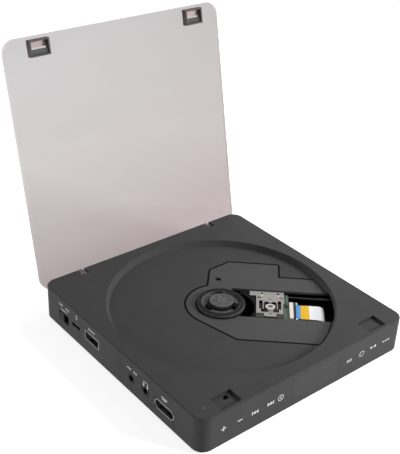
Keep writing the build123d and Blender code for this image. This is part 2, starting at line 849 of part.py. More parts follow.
# Pickup cover: a bright pressed plate over the body, with a tab, a chamfered window
# over the actuator, two round locating holes and two slots
with BuildPart() as pickup_cover:
    with BuildSketch(drive.offset(sled_top)):
        with BuildLine():
            Polyline(
                (18.9, -7.9),
                (24.2, -7.9),
                (24.2, -8.7),
                (30.0, -8.7),
                (30.0, -7.9),
                (33.4, -7.9),
                (34.1, -7.2),
                (34.1, 15.7),
                (15.2, 15.7),
                (15.2, 12.2),
                (18.7, 11.4),
                (19.2, 4.0),
                close=True,
            )
        make_face()
        with BuildLine():
            Polyline(
                (21.2, -1.6),
                (23.2, -3.7),
                (30.8, -3.7),
                (32.8, -1.6),
                (32.8, 6.4),
                (31.4, 6.4),
                (30.4, 5.6),
                (23.6, 5.6),
                (22.6, 6.4),
                (21.2, 6.4),
                close=True,
            )
        make_face(mode=Mode.SUBTRACT)
        with Locations((22.4, 13.9), (31.6, 13.7)):
            Circle(0.6, mode=Mode.SUBTRACT)
        with Locations((20.7, 9.8), (33.0, 9.6)):
            Rectangle(1.7, 0.7, mode=Mode.SUBTRACT)
    extrude(amount=pickup_plate)
finish(pickup_cover.part, "pickup_cover")

# Actuator magnets: two bars on the pit's floor, one at each end of the lens's holder
with BuildPart() as actuator_magnets:
    with BuildSketch(drive.offset(pit_low)):
        with Locations((lens_radius_now - 5.4, 1.4), (lens_radius_now + 5.4, 1.4)):
            Rectangle(1.4, 9.4)
    extrude(amount=sled_top - pit_low - 0.6)
finish(actuator_magnets.part, "actuator_magnets")

# Lens holder: a chamfered block with a barrel for the lens and a light path through it
holder_low = pit_low + 1.6
holder_top = sled_top - 0.2
with BuildPart() as lens_holder:
    with BuildSketch(drive.offset(holder_low)):
        with Locations((lens_radius_now, 0.9)):
            Rectangle(7.0, 8.4)
        chamfer(vertices(), 1.3)
    extrude(amount=holder_top - holder_low)
    with BuildSketch(drive.offset(holder_top)):
        with Locations((lens_radius_now, 0)):
            Circle(3.0)
    extrude(amount=0.5)
    with BuildSketch(drive.offset(holder_top - barrel_sink)):
        with Locations((lens_radius_now, 0)):
            Circle(lens_radius + press_gap)
    extrude(amount=1.0, mode=Mode.SUBTRACT)
    with BuildSketch(drive.offset(holder_low)):
        with Locations((lens_radius_now, 0)):
            Circle(1.7)
    extrude(amount=holder_top, mode=Mode.SUBTRACT)
finish(lens_holder.part, "lens_holder")

# Objective lens: a domed glass lens in the barrel
with BuildPart() as objective_lens:
    with BuildSketch(drive.offset(holder_top - barrel_sink)):
        with Locations((lens_radius_now, 0)):
            Circle(lens_radius)
    extrude(amount=lens_thickness)
    chamfer(objective_lens.edges().group_by(Axis.Z)[-1], lens_bevel)
finish(objective_lens.part, "objective_lens")

# Focus coils: flat windings on the holder's ends, facing the magnets
with BuildPart() as focus_coils:
    for side in (-1, 1):
        coil_plane = Plane(
            origin=drive.from_local_coords((lens_radius_now + side * 3.5, 1.1, (holder_low + holder_top) / 2)),
            x_dir=drive.y_dir,
            z_dir=drive.x_dir * side,
        )
        with BuildSketch(coil_plane):
            Rectangle(5.4, 2.6)
            Rectangle(3.6, 1.0, mode=Mode.SUBTRACT)
        extrude(amount=0.6)
finish(focus_coils.part, "focus_coils")

# Laser diode: a flanged can in the pickup's rear side
with BuildPart() as laser_diode:
    with BuildSketch(Plane(origin=drive.from_local_coords((diode_u, sled_back, diode_z)), z_dir=drive.y_dir)):
        Circle(2.8)
    extrude(amount=1.2)
    with BuildSketch(Plane(origin=drive.from_local_coords((diode_u, sled_back + 1.2, diode_z)), z_dir=drive.y_dir)):
        Circle(1.9)
    extrude(amount=0.9)
finish(laser_diode.part, "laser_diode")

# Pickup board and its ribbon connector at the outer end of the sled
board_end_u = 40.6
connector_start_u = 37.5
connector_end_u = 40.3
pickup_board_low = sled_top - board_step
pickup_board_top = pickup_board_low + 0.6
ribbon_z = pickup_board_top + 0.35
with BuildPart() as pickup_board:
    with BuildSketch(drive.offset(pickup_board_low)):
        with Locations(((board_edge_u + 0.1 + 37.1) / 2, 2.6)):
            Rectangle(37.1 - board_edge_u - 0.1, 23.6)
        with Locations(((36 + board_end_u) / 2, -0.8)):
            Rectangle(board_end_u - 36, 16.0)
    extrude(amount=0.6)
finish(pickup_board.part, "pickup_board")

with BuildPart() as pickup_connector:
    with BuildSketch(drive.offset(pickup_board_top)):
        with Locations(((connector_start_u + connector_end_u) / 2, -0.8)):
            Rectangle(connector_end_u - connector_start_u, 14.8)
    extrude(amount=0.9)
    with BuildSketch(drive.offset(ribbon_z - ribbon_thickness / 2 - 0.05)):
        with Locations((connector_end_u, ribbon_centre_v)):
            Rectangle(2.4, ribbon_width + 0.2)
    extrude(amount=ribbon_thickness + 0.1, mode=Mode.SUBTRACT)
finish(pickup_connector.part, "pickup_connector")

# Ribbon cable: a flat lead that leaves the connector, turns down past the end of the
# sled's slot and doubles back to its socket on the main board
ribbon_socket_top = main_board_top + 1.9
ribbon_return_z = main_board_top + 1.0
ribbon_turn = 3.6
ribbon_far_u = 56.8
with BuildPart() as ribbon_cable:
    with BuildSketch(Plane(origin=drive.from_local_coords((0, ribbon_centre_v, 0)), x_dir=drive.x_dir, z_dir=-drive.y_dir)):
        with BuildLine() as ribbon_path:
            Line((connector_end_u - 1.0, ribbon_z), (ribbon_far_u - ribbon_turn, ribbon_z))
            RadiusArc((ribbon_far_u - ribbon_turn, ribbon_z), (ribbon_far_u, ribbon_z - ribbon_turn), ribbon_turn)
            Line((ribbon_far_u, ribbon_z - ribbon_turn), (ribbon_far_u, ribbon_return_z + ribbon_turn))
            RadiusArc(
                (ribbon_far_u, ribbon_return_z + ribbon_turn),
                (ribbon_far_u - ribbon_turn, ribbon_return_z),
                ribbon_turn,
            )
            Line((ribbon_far_u - ribbon_turn, ribbon_return_z), (46.4, ribbon_return_z))
        trace(ribbon_path.line, ribbon_thickness)
    extrude(amount=ribbon_width / 2, both=True)
finish(ribbon_cable.part, "ribbon_cable")

with BuildPart() as ribbon_socket:
    with BuildSketch(drive.offset(main_board_top)):
        with Locations((45.8, ribbon_centre_v)):
            Rectangle(3.2, 14.6)
    extrude(amount=ribbon_socket_top - main_board_top)
    with BuildSketch(drive.offset(ribbon_return_z - ribbon_thickness / 2 - 0.05)):
        with Locations((47.4, ribbon_centre_v)):
            Rectangle(2.4, ribbon_width + 0.2)
    extrude(amount=ribbon_thickness + 0.1, mode=Mode.SUBTRACT)
finish(ribbon_socket.part, "ribbon_socket")

# Feed rack: a toothed bar on the arms' outer face
rack_pitch = pi * rack_module
first_tooth_u = final_u - rack_pitch * (int((final_u - rack_start) / rack_pitch) - 0.5)
rack_teeth = int((rack_end - first_tooth_u) / rack_pitch + 0.5)
rack_root_v = arm_front - rack_back
tooth_half = rack_pitch / 4 - tooth_play / 2
slant = tan(radians(20)) * rack_module
with BuildPart() as feed_rack:
    with BuildSketch(drive.offset(rack_low)):
        with Locations(((rack_start + rack_end) / 2, arm_front - rack_back / 2)):
            Rectangle(rack_end - rack_start, rack_back)
        for index in range(rack_teeth):
            place = first_tooth_u + index * rack_pitch
            with BuildLine():
                Polyline(
                    (place - tooth_half - 1.2 * slant, rack_root_v + 0.05),
                    (place - tooth_half + 0.9 * slant, pitch_line_v - 0.9 * rack_module),
                    (place + tooth_half - 0.9 * slant, pitch_line_v - 0.9 * rack_module),
                    (place + tooth_half + 1.2 * slant, rack_root_v + 0.05),
                    close=True,
                )
            make_face()
    extrude(amount=rack_height)
finish(feed_rack.part, "feed_rack")

# Feed train: the final gear drives the rack, the idler drives the final gear and the
# motor's pinion drives the idler; each compound gear turns on a pin in the chassis
with BuildPart() as final_gear:
    with BuildSketch(drive.offset(rack_low - 0.4)):
        with Locations((final_u, final_v)):
            add(gear_face(pinion_teeth, rack_module, 90))
    extrude(amount=final_face_low - rack_low + 0.4)
    with BuildSketch(drive.offset(final_face_low)):
        with Locations((final_u, final_v)):
            add(gear_face(final_teeth, train_module, final_to_idler))
    extrude(amount=final_face)
    with BuildSketch(drive.offset(chassis_top + 0.2)):
        with Locations((final_u, final_v)):
            Circle(1.2)
    extrude(amount=rack_low - 0.4 - chassis_top - 0.2)
    with BuildSketch(drive.offset(chassis_top)):
        with Locations((final_u, final_v)):
            Circle(axle_radius + rod_gap)
    extrude(amount=12, mode=Mode.SUBTRACT)
finish(final_gear.part, "final_gear")

with BuildPart() as idler_gear:
    with BuildSketch(drive.offset(idler_face_low)):
        with Locations((idler_u, idler_v)):
            add(gear_face(idler_teeth, train_module, idler_to_motor))
    extrude(amount=idler_face)
    with BuildSketch(drive.offset(idler_face_low + idler_face)):
        with Locations((idler_u, idler_v)):
            Circle(1.7)
    extrude(amount=final_face_low - idler_face_low - idler_face)
    with BuildSketch(drive.offset(final_face_low)):
        with Locations((idler_u, idler_v)):
            add(gear_face(idler_pinion_teeth, train_module, final_to_idler + 180 + 180 / idler_pinion_teeth))
    extrude(amount=final_face)
    with BuildSketch(drive.offset(chassis_top + 0.2)):
        with Locations((idler_u, idler_v)):
            Circle(1.5)
    extrude(amount=idler_face_low - chassis_top - 0.2)
    with BuildSketch(drive.offset(chassis_top)):
        with Locations((idler_u, idler_v)):
            Circle(axle_radius + rod_gap)
    extrude(amount=12, mode=Mode.SUBTRACT)
finish(idler_gear.part, "idler_gear")

motor_top = chassis_top + 0.6
with BuildPart() as feed_motor:
    with BuildSketch(drive.offset(chassis_low - 1.8)):
        with Locations((motor_u, motor_v)):
            Circle(motor_radius)
    extrude(amount=motor_top - chassis_low + 1.8)
    with BuildSketch(drive.offset(chassis_top)):
        with Locations((motor_u, motor_v)):
            SlotOverall(17.0, 5.0, rotation=90)
    extrude(amount=0.6)
    with BuildSketch(drive.offset(motor_top)):
        with Locations((motor_u, motor_v)):
            Circle(2.2)
    extrude(amount=0.6)
    with BuildSketch(drive.offset(chassis_top - 0.4)):
        with Locations((motor_u, motor_v)):
            Circle(axle_radius + running_gap)
    extrude(amount=3.0, mode=Mode.SUBTRACT)
finish(feed_motor.part, "feed_motor")

with BuildPart() as motor_pinion:
    with BuildSketch(drive.offset(motor_top + 1.0)):
        with Locations((motor_u, motor_v)):
            add(gear_face(motor_teeth, train_module, idler_to_motor + 180 + 180 / motor_teeth))
    extrude(amount=2.4)
    with BuildSketch(drive.offset(chassis_top - 0.2)):
        with Locations((motor_u, motor_v)):
            Circle(axle_radius)
    extrude(amount=motor_top - chassis_top + 1.4)
finish(motor_pinion.part, "motor_pinion")

# Main board under the drive, with its chips
with BuildPart() as main_board:
    with BuildSketch(Plane.XY.offset(main_board_low)):
        with Locations((2.0, -13.0)):
            Rectangle(case_width - 28.0, case_depth - 50.0)
    extrude(amount=board_thickness)
    with BuildSketch(drive.offset(main_board_low)):
        with Locations(*bush_points):
            Rectangle(post_width + 1, post_width + 1)
    extrude(amount=board_thickness, mode=Mode.SUBTRACT)
finish(main_board.part, "main_board")

with BuildPart() as board_chips:
    with BuildSketch(Plane.XY.offset(main_board_top)):
        with Locations((-36.0, -34.0)):
            Rectangle(14.0, 14.0)
        with Locations((-38.0, -8.0)):
            Rectangle(8.0, 12.0)
        with Locations((0.0, -50.0)):
            Rectangle(9.0, 7.0)
    extrude(amount=1.2)
finish(board_chips.part, "board_chips")

# Port board along the left side, joined to the main board by a header
with BuildPart() as port_board:
    with BuildSketch(Plane.XY.offset(port_board_low)):
        with Locations((left_face + 11.2, 2.5)):
            Rectangle(17.4, 108.0)
    extrude(amount=board_thickness)
    with BuildSketch(Plane.XY.offset(main_board_top)):
        with Locations((-52.0, 0.0)):
            Rectangle(2.6, 22.0)
    extrude(amount=port_board_low - main_board_top)
finish(port_board.part, "port_board")

# USB socket: a folded steel shell round a plastic block whose tongue carries the
# contacts; the block also stands the shell on the board
usb_front = left_face + 0.1
with BuildPart() as usb_shell:
    with BuildSketch(side_plane(usb_front)):
        with Locations((usb_y, usb_z)):
            RectangleRounded(usb_width, usb_height, 0.4)
            Rectangle(usb_width - 2 * metal_skin, usb_height - 2 * metal_skin, mode=Mode.SUBTRACT)
    extrude(amount=usb_depth)
finish(usb_shell.part, "usb_shell")

with BuildPart() as usb_tongue:
    with BuildSketch(side_plane(usb_front + usb_depth - 3.0)):
        with Locations((usb_y, usb_z)):
            Rectangle(usb_width - 2 * metal_skin, usb_height - 2 * metal_skin)
    extrude(amount=3.0)
    with BuildSketch(side_plane(usb_front + 1.0)):
        with Locations((usb_y, usb_z + 0.9)):
            Rectangle(usb_width - 2.0, 1.8)
    extrude(amount=usb_depth - 3.0)
finish(usb_tongue.part, "usb_tongue")

with BuildPart() as socket_bases:
    with BuildSketch(Plane.XY.offset(port_board_top)):
        with Locations((left_face + 8.0, usb_y)):
            Rectangle(10.0, usb_width - 1.0)
    extrude(amount=usb_z - usb_height / 2 - port_board_top)
    with BuildSketch(Plane.XY.offset(port_board_top)):
        with Locations((left_face + 5.0, power_y)):
            Rectangle(5.0, power_width - 3.4)
    extrude(amount=power_z - power_height / 2 - port_board_top)
finish(socket_bases.part, "socket_bases")

# Power socket: a rounded steel sleeve, closed behind, with a thin tongue
with BuildPart() as power_socket:
    with BuildSketch(side_plane(usb_front)):
        with Locations((power_y, power_z)):
            SlotOverall(power_width, power_height)
    extrude(amount=7.4)
    with BuildSketch(side_plane(usb_front)):
        with Locations((power_y, power_z)):
            SlotOverall(power_width - 2 * metal_skin, power_height - 2 * metal_skin)
    extrude(amount=6.6, mode=Mode.SUBTRACT)
    with BuildSketch(side_plane(usb_front + 0.9)):
        with Locations((power_y, power_z)):
            Rectangle(6.2, 0.7)
    extrude(amount=5.8)
finish(power_socket.part, "power_socket")

# Video socket: a steel shell with cut lower corners round a plastic tongue
with BuildPart() as video_shell:
    with BuildSketch(side_plane(usb_front)):
        with Locations((video_y, video_z)):
            Rectangle(video_width, video_height)
        chamfer(vertices().group_by(Axis.Z)[0], 1.6)
        fillet(vertices().group_by(Axis.Z)[-1], 0.6)
    extrude(amount=11.5)
    with BuildSketch(side_plane(usb_front)):
        with Locations((video_y, video_z)):
            Rectangle(video_width - 2 * metal_skin, video_height - 2 * metal_skin)
        chamfer(vertices().group_by(Axis.Z)[0], 1.4)
    extrude(amount=10.5, mode=Mode.SUBTRACT)
finish(video_shell.part, "video_shell")

with BuildPart() as video_tongue:
    with BuildSketch(side_plane(usb_front + 1.2)):
        with Locations((video_y, video_z + 0.2)):
            Rectangle(video_width - 2.6, 1.0)
    extrude(amount=9.3)
finish(video_tongue.part, "video_tongue")

# Audio jacks: a block on the board with a round nose in the case's wall
for name, place in (("av_jack", av_jack_y), ("phone_jack", phone_jack_y)):
    with BuildPart() as jack:
        with BuildSketch(side_plane(inner_left)):
            with Locations((place, (port_board_top + jack_height + 3.2) / 2)):
                Rectangle(6.6, jack_height + 3.2 - port_board_top)
        extrude(amount=11.0)
        with BuildSketch(side_plane(left_face)):
            with Locations((place, jack_height)):
                Circle(jack_nose)
        extrude(amount=case_wall + 0.1)
        with BuildSketch(side_plane(left_face)):
            with Locations((place, jack_height)):
                Circle(jack_bore)
        extrude(amount=jack_depth, mode=Mode.SUBTRACT)
    finish(jack.part, name)

# Power switch: a can on the board with a slit for the stem of the ribbed knob
can_front = inner_left + 1.6
stem_height = 1.0
knob_y = switch_y + knob_travel / 2
with BuildPart() as switch_can:
    with BuildSketch(side_plane(can_front)):
        with Locations((switch_y, (port_board_top + switch_z + 2.6) / 2)):
            Rectangle(11.0, switch_z + 2.6 - port_board_top)
    extrude(amount=5.0)
    with BuildSketch(side_plane(can_front)):
        with Locations((switch_y, switch_z)):
            Rectangle(8.0, stem_height + 0.2)
    extrude(amount=1.4, mode=Mode.SUBTRACT)
finish(switch_can.part, "switch_can")

with BuildPart() as switch_knob:
    with BuildSketch(side_plane(left_face - 0.2)):
        with Locations((knob_y, switch_z)):
            Rectangle(knob_length, knob_height)
    extrude(amount=can_front - left_face - 0.1)
    with BuildSketch(side_plane(left_face - 0.2)):
        with Locations((knob_y, switch_z)):
            with GridLocations(1.3, 0, 4, 1):
                Rectangle(0.5, knob_height)
    extrude(amount=0.5, mode=Mode.SUBTRACT)
    with BuildSketch(side_plane(can_front - 0.4)):
        with Locations((knob_y, switch_z)):
            Rectangle(2.4, stem_height)
    extrude(amount=1.6)
finish(switch_knob.part, "switch_knob")

# Lid sensor and catch plates under the latch seats
seat_under = catch_floor - top_thickness + 0.2
with BuildPart() as lid_sensor:
    with BuildSketch(Plane.XY.offset(seat_under - 1.6)):
        with Locations((-latch_x + 1.8, latch_y + 2.5)):
            Rectangle(4.4, 4.4)
    extrude(amount=1.6)
finish(lid_sensor.part, "lid_sensor")

with BuildPart() as catch_plates:
    with BuildSketch(Plane.XY.offset(seat_under - 0.8)):
        with Locations((-latch_x - 3.4, latch_y + 0.6), (latch_x + 3.4, latch_y + 0.6)):
            Rectangle(4.6, 7.0)
    extrude(amount=0.8)
finish(catch_plates.part, "catch_plates")

# Hinge pins: steel pins through the lid's arms, their ends in the case
with BuildPart() as hinge_pins:
    with Locations((-hinge_x, hinge_y, hinge_z), (hinge_x, hinge_y, hinge_z)):
        Cylinder(hinge_pin_radius, hinge_pin_length, rotation=(0, 90, 0))
finish(hinge_pins.part, "hinge_pins")

# Lid: a tinted clear panel with two moulded arms that reach down to the pins
lid_centre = hinge_inset - lid_depth / 2
with BuildPart() as lid_panel:
    with BuildSketch(lid_frame.offset(lid_under)):
        with Locations((0, lid_centre)):
            RectangleRounded(case_width, lid_depth, lid_corner)
    extrude(amount=lid_thickness)
    for side in (-1, 1):
        arm_plane = Plane(
            origin=lid_frame.from_local_coords((side * hinge_x - hinge_arm_width / 2, 0, 0)),
            x_dir=lid_frame.y_dir,
            z_dir=lid_frame.x_dir,
        )
        with BuildSketch(arm_plane):
            Circle(hinge_hub_radius)
            with BuildLine():
                Polyline(
                    (-hinge_arm_front, lid_under),
                    (-hinge_arm_front, 0.6),
                    (-hinge_hub_radius * 0.8, -hinge_hub_radius * 0.6),
                    (hinge_hub_radius * 0.6, -hinge_hub_radius * 0.8),
                    (2.0, 0),
                    (2.0, 4.2),
                    (hinge_inset, 4.6),
                    (hinge_inset, lid_under),
                    close=True,
                )
            make_face()
            Circle(hinge_pin_radius + rod_gap, mode=Mode.SUBTRACT)
        extrude(amount=hinge_arm_width)
finish(lid_panel.part, "lid_panel")

# Latch blocks: open boxes on the lid's underside that hold the magnets and drop into
# the case's seats
latch_frame_y = latch_y - hinge_y
with BuildPart() as latch_blocks:
    with BuildSketch(lid_frame.offset(lid_under)):
        with Locations((-latch_x, latch_frame_y), (latch_x, latch_frame_y)):
            Rectangle(latch_width, latch_depth)
            Rectangle(latch_width - 2 * latch_wall, latch_depth - 2 * latch_wall, mode=Mode.SUBTRACT)
    extrude(amount=-latch_proud)
finish(latch_blocks.part, "latch_blocks")

magnet_depth = 2.4
with BuildPart() as lid_magnets:
    with BuildSketch(lid_frame.offset(lid_under)):
        with Locations(
            (-latch_x, latch_frame_y + latch_depth / 2 - latch_wall - magnet_depth / 2),
            (latch_x, latch_frame_y + latch_depth / 2 - latch_wall - magnet_depth / 2),
        ):
            Rectangle(latch_width - 2 * latch_wall, magnet_depth)
    extrude(amount=-2.4)
finish(lid_magnets.part, "lid_magnets")
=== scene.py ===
from math import cos, pi, radians, sin

import bmesh
import bpy
from mathutils import Matrix, Vector


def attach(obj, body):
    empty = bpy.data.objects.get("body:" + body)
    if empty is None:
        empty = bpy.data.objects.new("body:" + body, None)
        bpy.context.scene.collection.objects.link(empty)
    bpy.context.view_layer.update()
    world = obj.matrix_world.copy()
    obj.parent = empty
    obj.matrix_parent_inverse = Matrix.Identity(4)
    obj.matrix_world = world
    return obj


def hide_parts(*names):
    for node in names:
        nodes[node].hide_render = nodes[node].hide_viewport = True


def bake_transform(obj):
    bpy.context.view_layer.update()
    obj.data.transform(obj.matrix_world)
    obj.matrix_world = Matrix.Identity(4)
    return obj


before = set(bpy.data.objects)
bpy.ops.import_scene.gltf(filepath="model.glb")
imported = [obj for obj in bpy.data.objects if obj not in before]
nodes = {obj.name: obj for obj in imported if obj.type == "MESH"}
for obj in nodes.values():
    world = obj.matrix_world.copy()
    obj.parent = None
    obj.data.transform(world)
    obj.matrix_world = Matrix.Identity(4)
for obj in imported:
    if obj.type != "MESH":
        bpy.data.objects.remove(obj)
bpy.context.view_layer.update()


# Camera: the player is seen from its front left corner and from above, with the whole
# open lid in an upright picture. Its place and directions were solved from the case's
# edges.
camera_place = (-0.26755, -0.29820, 0.29907)
to_right = Vector((0.77942644, -0.6253492, 0.03785245))
to_top = Vector((0.28867571, 0.41211107, 0.86419373))
to_viewer = Vector((-0.55602227, -0.66264836, 0.50173339))
bpy.ops.object.camera_add(location=camera_place)
camera = bpy.context.object
camera.matrix_world = Matrix((
    (to_right.x, to_top.x, to_viewer.x, camera_place[0]),
    (to_right.y, to_top.y, to_viewer.y, camera_place[1]),
    (to_right.z, to_top.z, to_viewer.z, camera_place[2]),
    (0.0, 0.0, 0.0, 1.0),
))
camera.data.sensor_width = 36.0
camera.data.lens = 70.71
camera.data.clip_start = 0.01
camera.data.clip_end = 20.0
bpy.context.scene.camera = camera


# Studio: a white table and white surroundings. The table keeps the player's shadow, and
# gloss, clear plastic and the camera see it white. Its glow rises a little with distance,
# so that table and surroundings meet without a line.
bpy.context.scene.view_settings.view_transform = "Standard"
white = (1.0, 1.0, 1.0, 1.0)
seen_strength = 1.0
lighting_strength = 0.16
table_tone = 0.75
table_drop = 0.00002


def worked_out(tree, operation, first, second):
    """One step of arithmetic. The second value is a number or comes from another step."""
    step = tree.nodes.new("ShaderNodeMath")
    step.operation = operation
    tree.links.new(first, step.inputs[0])
    if isinstance(second, float):
        step.inputs[1].default_value = second
    else:
        tree.links.new(second, step.inputs[1])
    return step.outputs["Value"]


def ranged(tree, source, start, end, low=0.0, high=1.0):
    """A value carried over from one range to another."""
    step = tree.nodes.new("ShaderNodeMapRange")
    step.inputs["From Min"].default_value = start
    step.inputs["From Max"].default_value = end
    step.inputs["To Min"].default_value = low
    step.inputs["To Max"].default_value = high
    tree.links.new(source, step.inputs["Value"])
    return step.outputs["Result"]


def seen_directly(tree):
    """1 for what the camera, gloss and clear plastic see, 0 for what only lights."""
    path = tree.nodes.new("ShaderNodeLightPath")
    seen = worked_out(tree, "MAXIMUM", path.outputs["Is Camera Ray"], path.outputs["Is Glossy Ray"])
    return worked_out(tree, "MAXIMUM", seen, path.outputs["Is Transmission Ray"])


world = bpy.data.worlds.new("studio")
world.use_nodes = True
bpy.context.scene.world = world
surroundings = world.node_tree
surroundings.nodes.clear()
world_out = surroundings.nodes.new("ShaderNodeOutputWorld")
world_mix = surroundings.nodes.new("ShaderNodeMixShader")
surroundings.links.new(seen_directly(surroundings), world_mix.inputs[0])
for place, strength in ((1, lighting_strength), (2, seen_strength)):
    background = surroundings.nodes.new("ShaderNodeBackground")
    background.inputs["Color"].default_value = white
    background.inputs["Strength"].default_value = strength
    surroundings.links.new(background.outputs[0], world_mix.inputs[place])
surroundings.links.new(world_mix.outputs[0], world_out.inputs["Surface"])

bpy.ops.mesh.primitive_plane_add(size=12.0, location=(0.0, 0.0, -table_drop))
table = bpy.context.object
table.name = "table"
table_paint = bpy.data.materials.new("white_table")
table_paint.use_nodes = True
paint = table_paint.node_tree
paint.nodes.clear()
paint_out = paint.nodes.new("ShaderNodeOutputMaterial")
matt = paint.nodes.new("ShaderNodeBsdfDiffuse")
matt.inputs["Color"].default_value = (table_tone, table_tone, table_tone, 1.0)
glow = paint.nodes.new("ShaderNodeEmission")
glow.inputs["Color"].default_value = white
paint_add = paint.nodes.new("ShaderNodeAddShader")
spot = paint.nodes.new("ShaderNodeTexCoord")
distance = paint.nodes.new("ShaderNodeVectorMath")
distance.operation = "LENGTH"
paint.links.new(spot.outputs["Object"], distance.inputs[0])
rising = ranged(paint, distance.outputs["Value"], 0.25, 1.20, low=0.77, high=0.84)
glow_strength = worked_out(paint, "MULTIPLY", seen_directly(paint), rising)
paint.links.new(glow_strength, glow.inputs["Strength"])
paint.links.new(matt.outputs[0], paint_add.inputs[0])
paint.links.new(glow.outputs[0], paint_add.inputs[1])
paint.links.new(paint_add.outputs[0], paint_out.inputs["Surface"])
table.data.materials.append(table_paint)


def lamp(name, place, aim, size, power):
    """A soft square lamp that faces a point of the player. Gloss doesn't mirror it."""
    bpy.ops.object.light_add(type="AREA", location=place)
    light = bpy.context.object
    light.name = name
    light.data.shape = "SQUARE"
    light.data.size = size
    light.data.energy = power
    light.visible_glossy = False
    light.rotation_euler = (Vector(aim) - Vector(place)).to_track_quat("-Z", "Y").to_euler()


lamp("front_lamp", (0.60, -0.82, 0.50), aim=(0.0, 0.0, 0.03), size=0.4, power=13.0)
lamp("left_lamp", (-1.10, 0.70, 0.20), aim=(0.0, 0.0, 0.03), size=0.4, power=9.2)
lamp("top_lamp", (0.36, 0.02, 0.33), aim=(0.03, 0.0, 0.02), size=0.25, power=1.15)


# Case: two injection-moulded halves of dark grey plastic with a fine spark-eroded
# grain. The upper one has the disc well in one piece with it.
def pattern(tree, scale, detail=3.0, stretch=(1.0, 1.0, 1.0), turn=0.0):
    """Noise over a piece's own place, stretched and turned where a finish has a grain."""
    place = tree.nodes.new("ShaderNodeTexCoord")
    mapping = tree.nodes.new("ShaderNodeMapping")
    mapping.inputs["Scale"].default_value = stretch
    mapping.inputs["Rotation"].default_value = (0.0, 0.0, turn)
    noise = tree.nodes.new("ShaderNodeTexNoise")
    noise.inputs["Scale"].default_value = scale
    noise.inputs["Detail"].default_value = detail
    tree.links.new(place.outputs["Object"], mapping.inputs["Vector"])
    tree.links.new(mapping.outputs["Vector"], noise.inputs["Vector"])
    return noise.outputs["Fac"]


def spread(tree, source, low, high):
    """A pattern as values between two limits. Noise lies mostly between 0.3 and 0.7."""
    return ranged(tree, source, 0.3, 0.7, low, high)


def mixed(tree, share, first, second):
    """A mix of two colours, each of them plain or from another step."""
    step = tree.nodes.new("ShaderNodeMix")
    step.data_type = "RGBA"
    tree.links.new(share, step.inputs[0])
    for place, colour in ((6, first), (7, second)):
        if isinstance(colour, tuple):
            step.inputs[place].default_value = (*colour, 1.0)
        else:
            tree.links.new(colour, step.inputs[place])
    return step.outputs[2]


def relief(tree, shader, source, height):
    """A pattern as a shallow relief, in metres."""
    bump = tree.nodes.new("ShaderNodeBump")
    bump.inputs["Strength"].default_value = 1.0
    bump.inputs["Distance"].default_value = height
    tree.links.new(source, bump.inputs["Height"])
    tree.links.new(bump.outputs["Normal"], shader.inputs["Normal"])


def new_finish(name):
    """An empty finish, with its tree of steps and its shader."""
    material = bpy.data.materials.new(name)
    material.use_nodes = True
    return material, material.node_tree, material.node_tree.nodes["Principled BSDF"]


def moulded(name, first, second, rough, grain=2600.0, height=0.00003, shine=0.5, drift=14.0):
    """Moulded plastic or rubber: two close tones, uneven gloss and a fine grain."""
    uneven = 0.05
    material, tree, shader = new_finish(name)
    shader.inputs["Specular IOR Level"].default_value = shine
    tones = mixed(tree, spread(tree, pattern(tree, drift), 0.0, 1.0), first, second)
    tree.links.new(tones, shader.inputs["Base Color"])
    gloss = spread(tree, pattern(tree, drift * 6), rough - uneven, rough + uneven)
    tree.links.new(gloss, shader.inputs["Roughness"])
    relief(tree, shader, pattern(tree, grain, 2.0), height)
    return material


def dress(material, *names):
    """Gives a finish to solids of the player."""
    for name in names:
        for place in nodes[name].material_slots:
            place.material = material


case_plastic = moulded(
    "case_plastic", (0.050, 0.050, 0.050), (0.056, 0.056, 0.056), 0.58, shine=0.12
)
dress(case_plastic, "upper_shell", "lower_shell")


# Feet and case screws: black rubber discs, and zinc-plated steel screws.
def metal(
    name, first, second, rough,
    stretch=(1.0, 1.0, 1.0), turn=0.0, grain=900.0, height=0.00001,
):
    """Metal: two close tones, and brushing or a mill skin in one direction."""
    uneven = 0.08
    material, tree, shader = new_finish(name)
    shader.inputs["Metallic"].default_value = 1.0
    lines = pattern(tree, grain, 4.0, stretch, turn)
    tones = mixed(tree, spread(tree, lines, 0.0, 1.0), first, second)
    tree.links.new(tones, shader.inputs["Base Color"])
    gloss = spread(tree, lines, rough - uneven, rough + uneven)
    tree.links.new(gloss, shader.inputs["Roughness"])
    relief(tree, shader, lines, height)
    return material


foot_rubber = moulded(
    "foot_rubber", (0.022, 0.022, 0.022), (0.030, 0.030, 0.030), 0.80, grain=1400.0
)
dress(foot_rubber, "rubber_feet")
screw_steel = metal("screw_steel", (0.42, 0.42, 0.43), (0.56, 0.56, 0.57), 0.35)
dress(screw_steel, "case_screws")


# Display: a smoked pane flush with the front, with the digits' module and the touch key
# boards hidden behind the wall.
window_smoke = moulded(
    "window_smoke", (0.050, 0.050, 0.051), (0.055, 0.055, 0.056), 0.54,
    grain=4200.0, height=0.00001, shine=0.13,
)
dress(window_smoke, "display_window")
display_panel = moulded("display_panel", (0.015, 0.016, 0.020), (0.022, 0.024, 0.030), 0.25)
dress(display_panel, "display_module")
# Painted shade: the boards' green is darkened, so that the main board seen through the slot shows
# dark.
board_green = moulded(
    "board_green", (0.008, 0.020, 0.014), (0.014, 0.032, 0.022), 0.45,
    grain=700.0, shine=0.15, drift=160.0,
)
dress(board_green, "touch_key_boards", "main_board", "port_board")
light_pipe = moulded("light_pipe", (0.10, 0.10, 0.10), (0.14, 0.14, 0.14), 0.35)
dress(light_pipe, "status_light")


# Drive cover: a black-grey plate of the same plastic family as the case, level with the
# well's floor. The drive under it is turned clockwise on the case.
cover_black = moulded(
    "cover_black", (0.062, 0.062, 0.063), (0.070, 0.070, 0.071), 0.52, shine=0.15
)
dress(cover_black, "drive_cover")
drive_turn = radians(42.0)


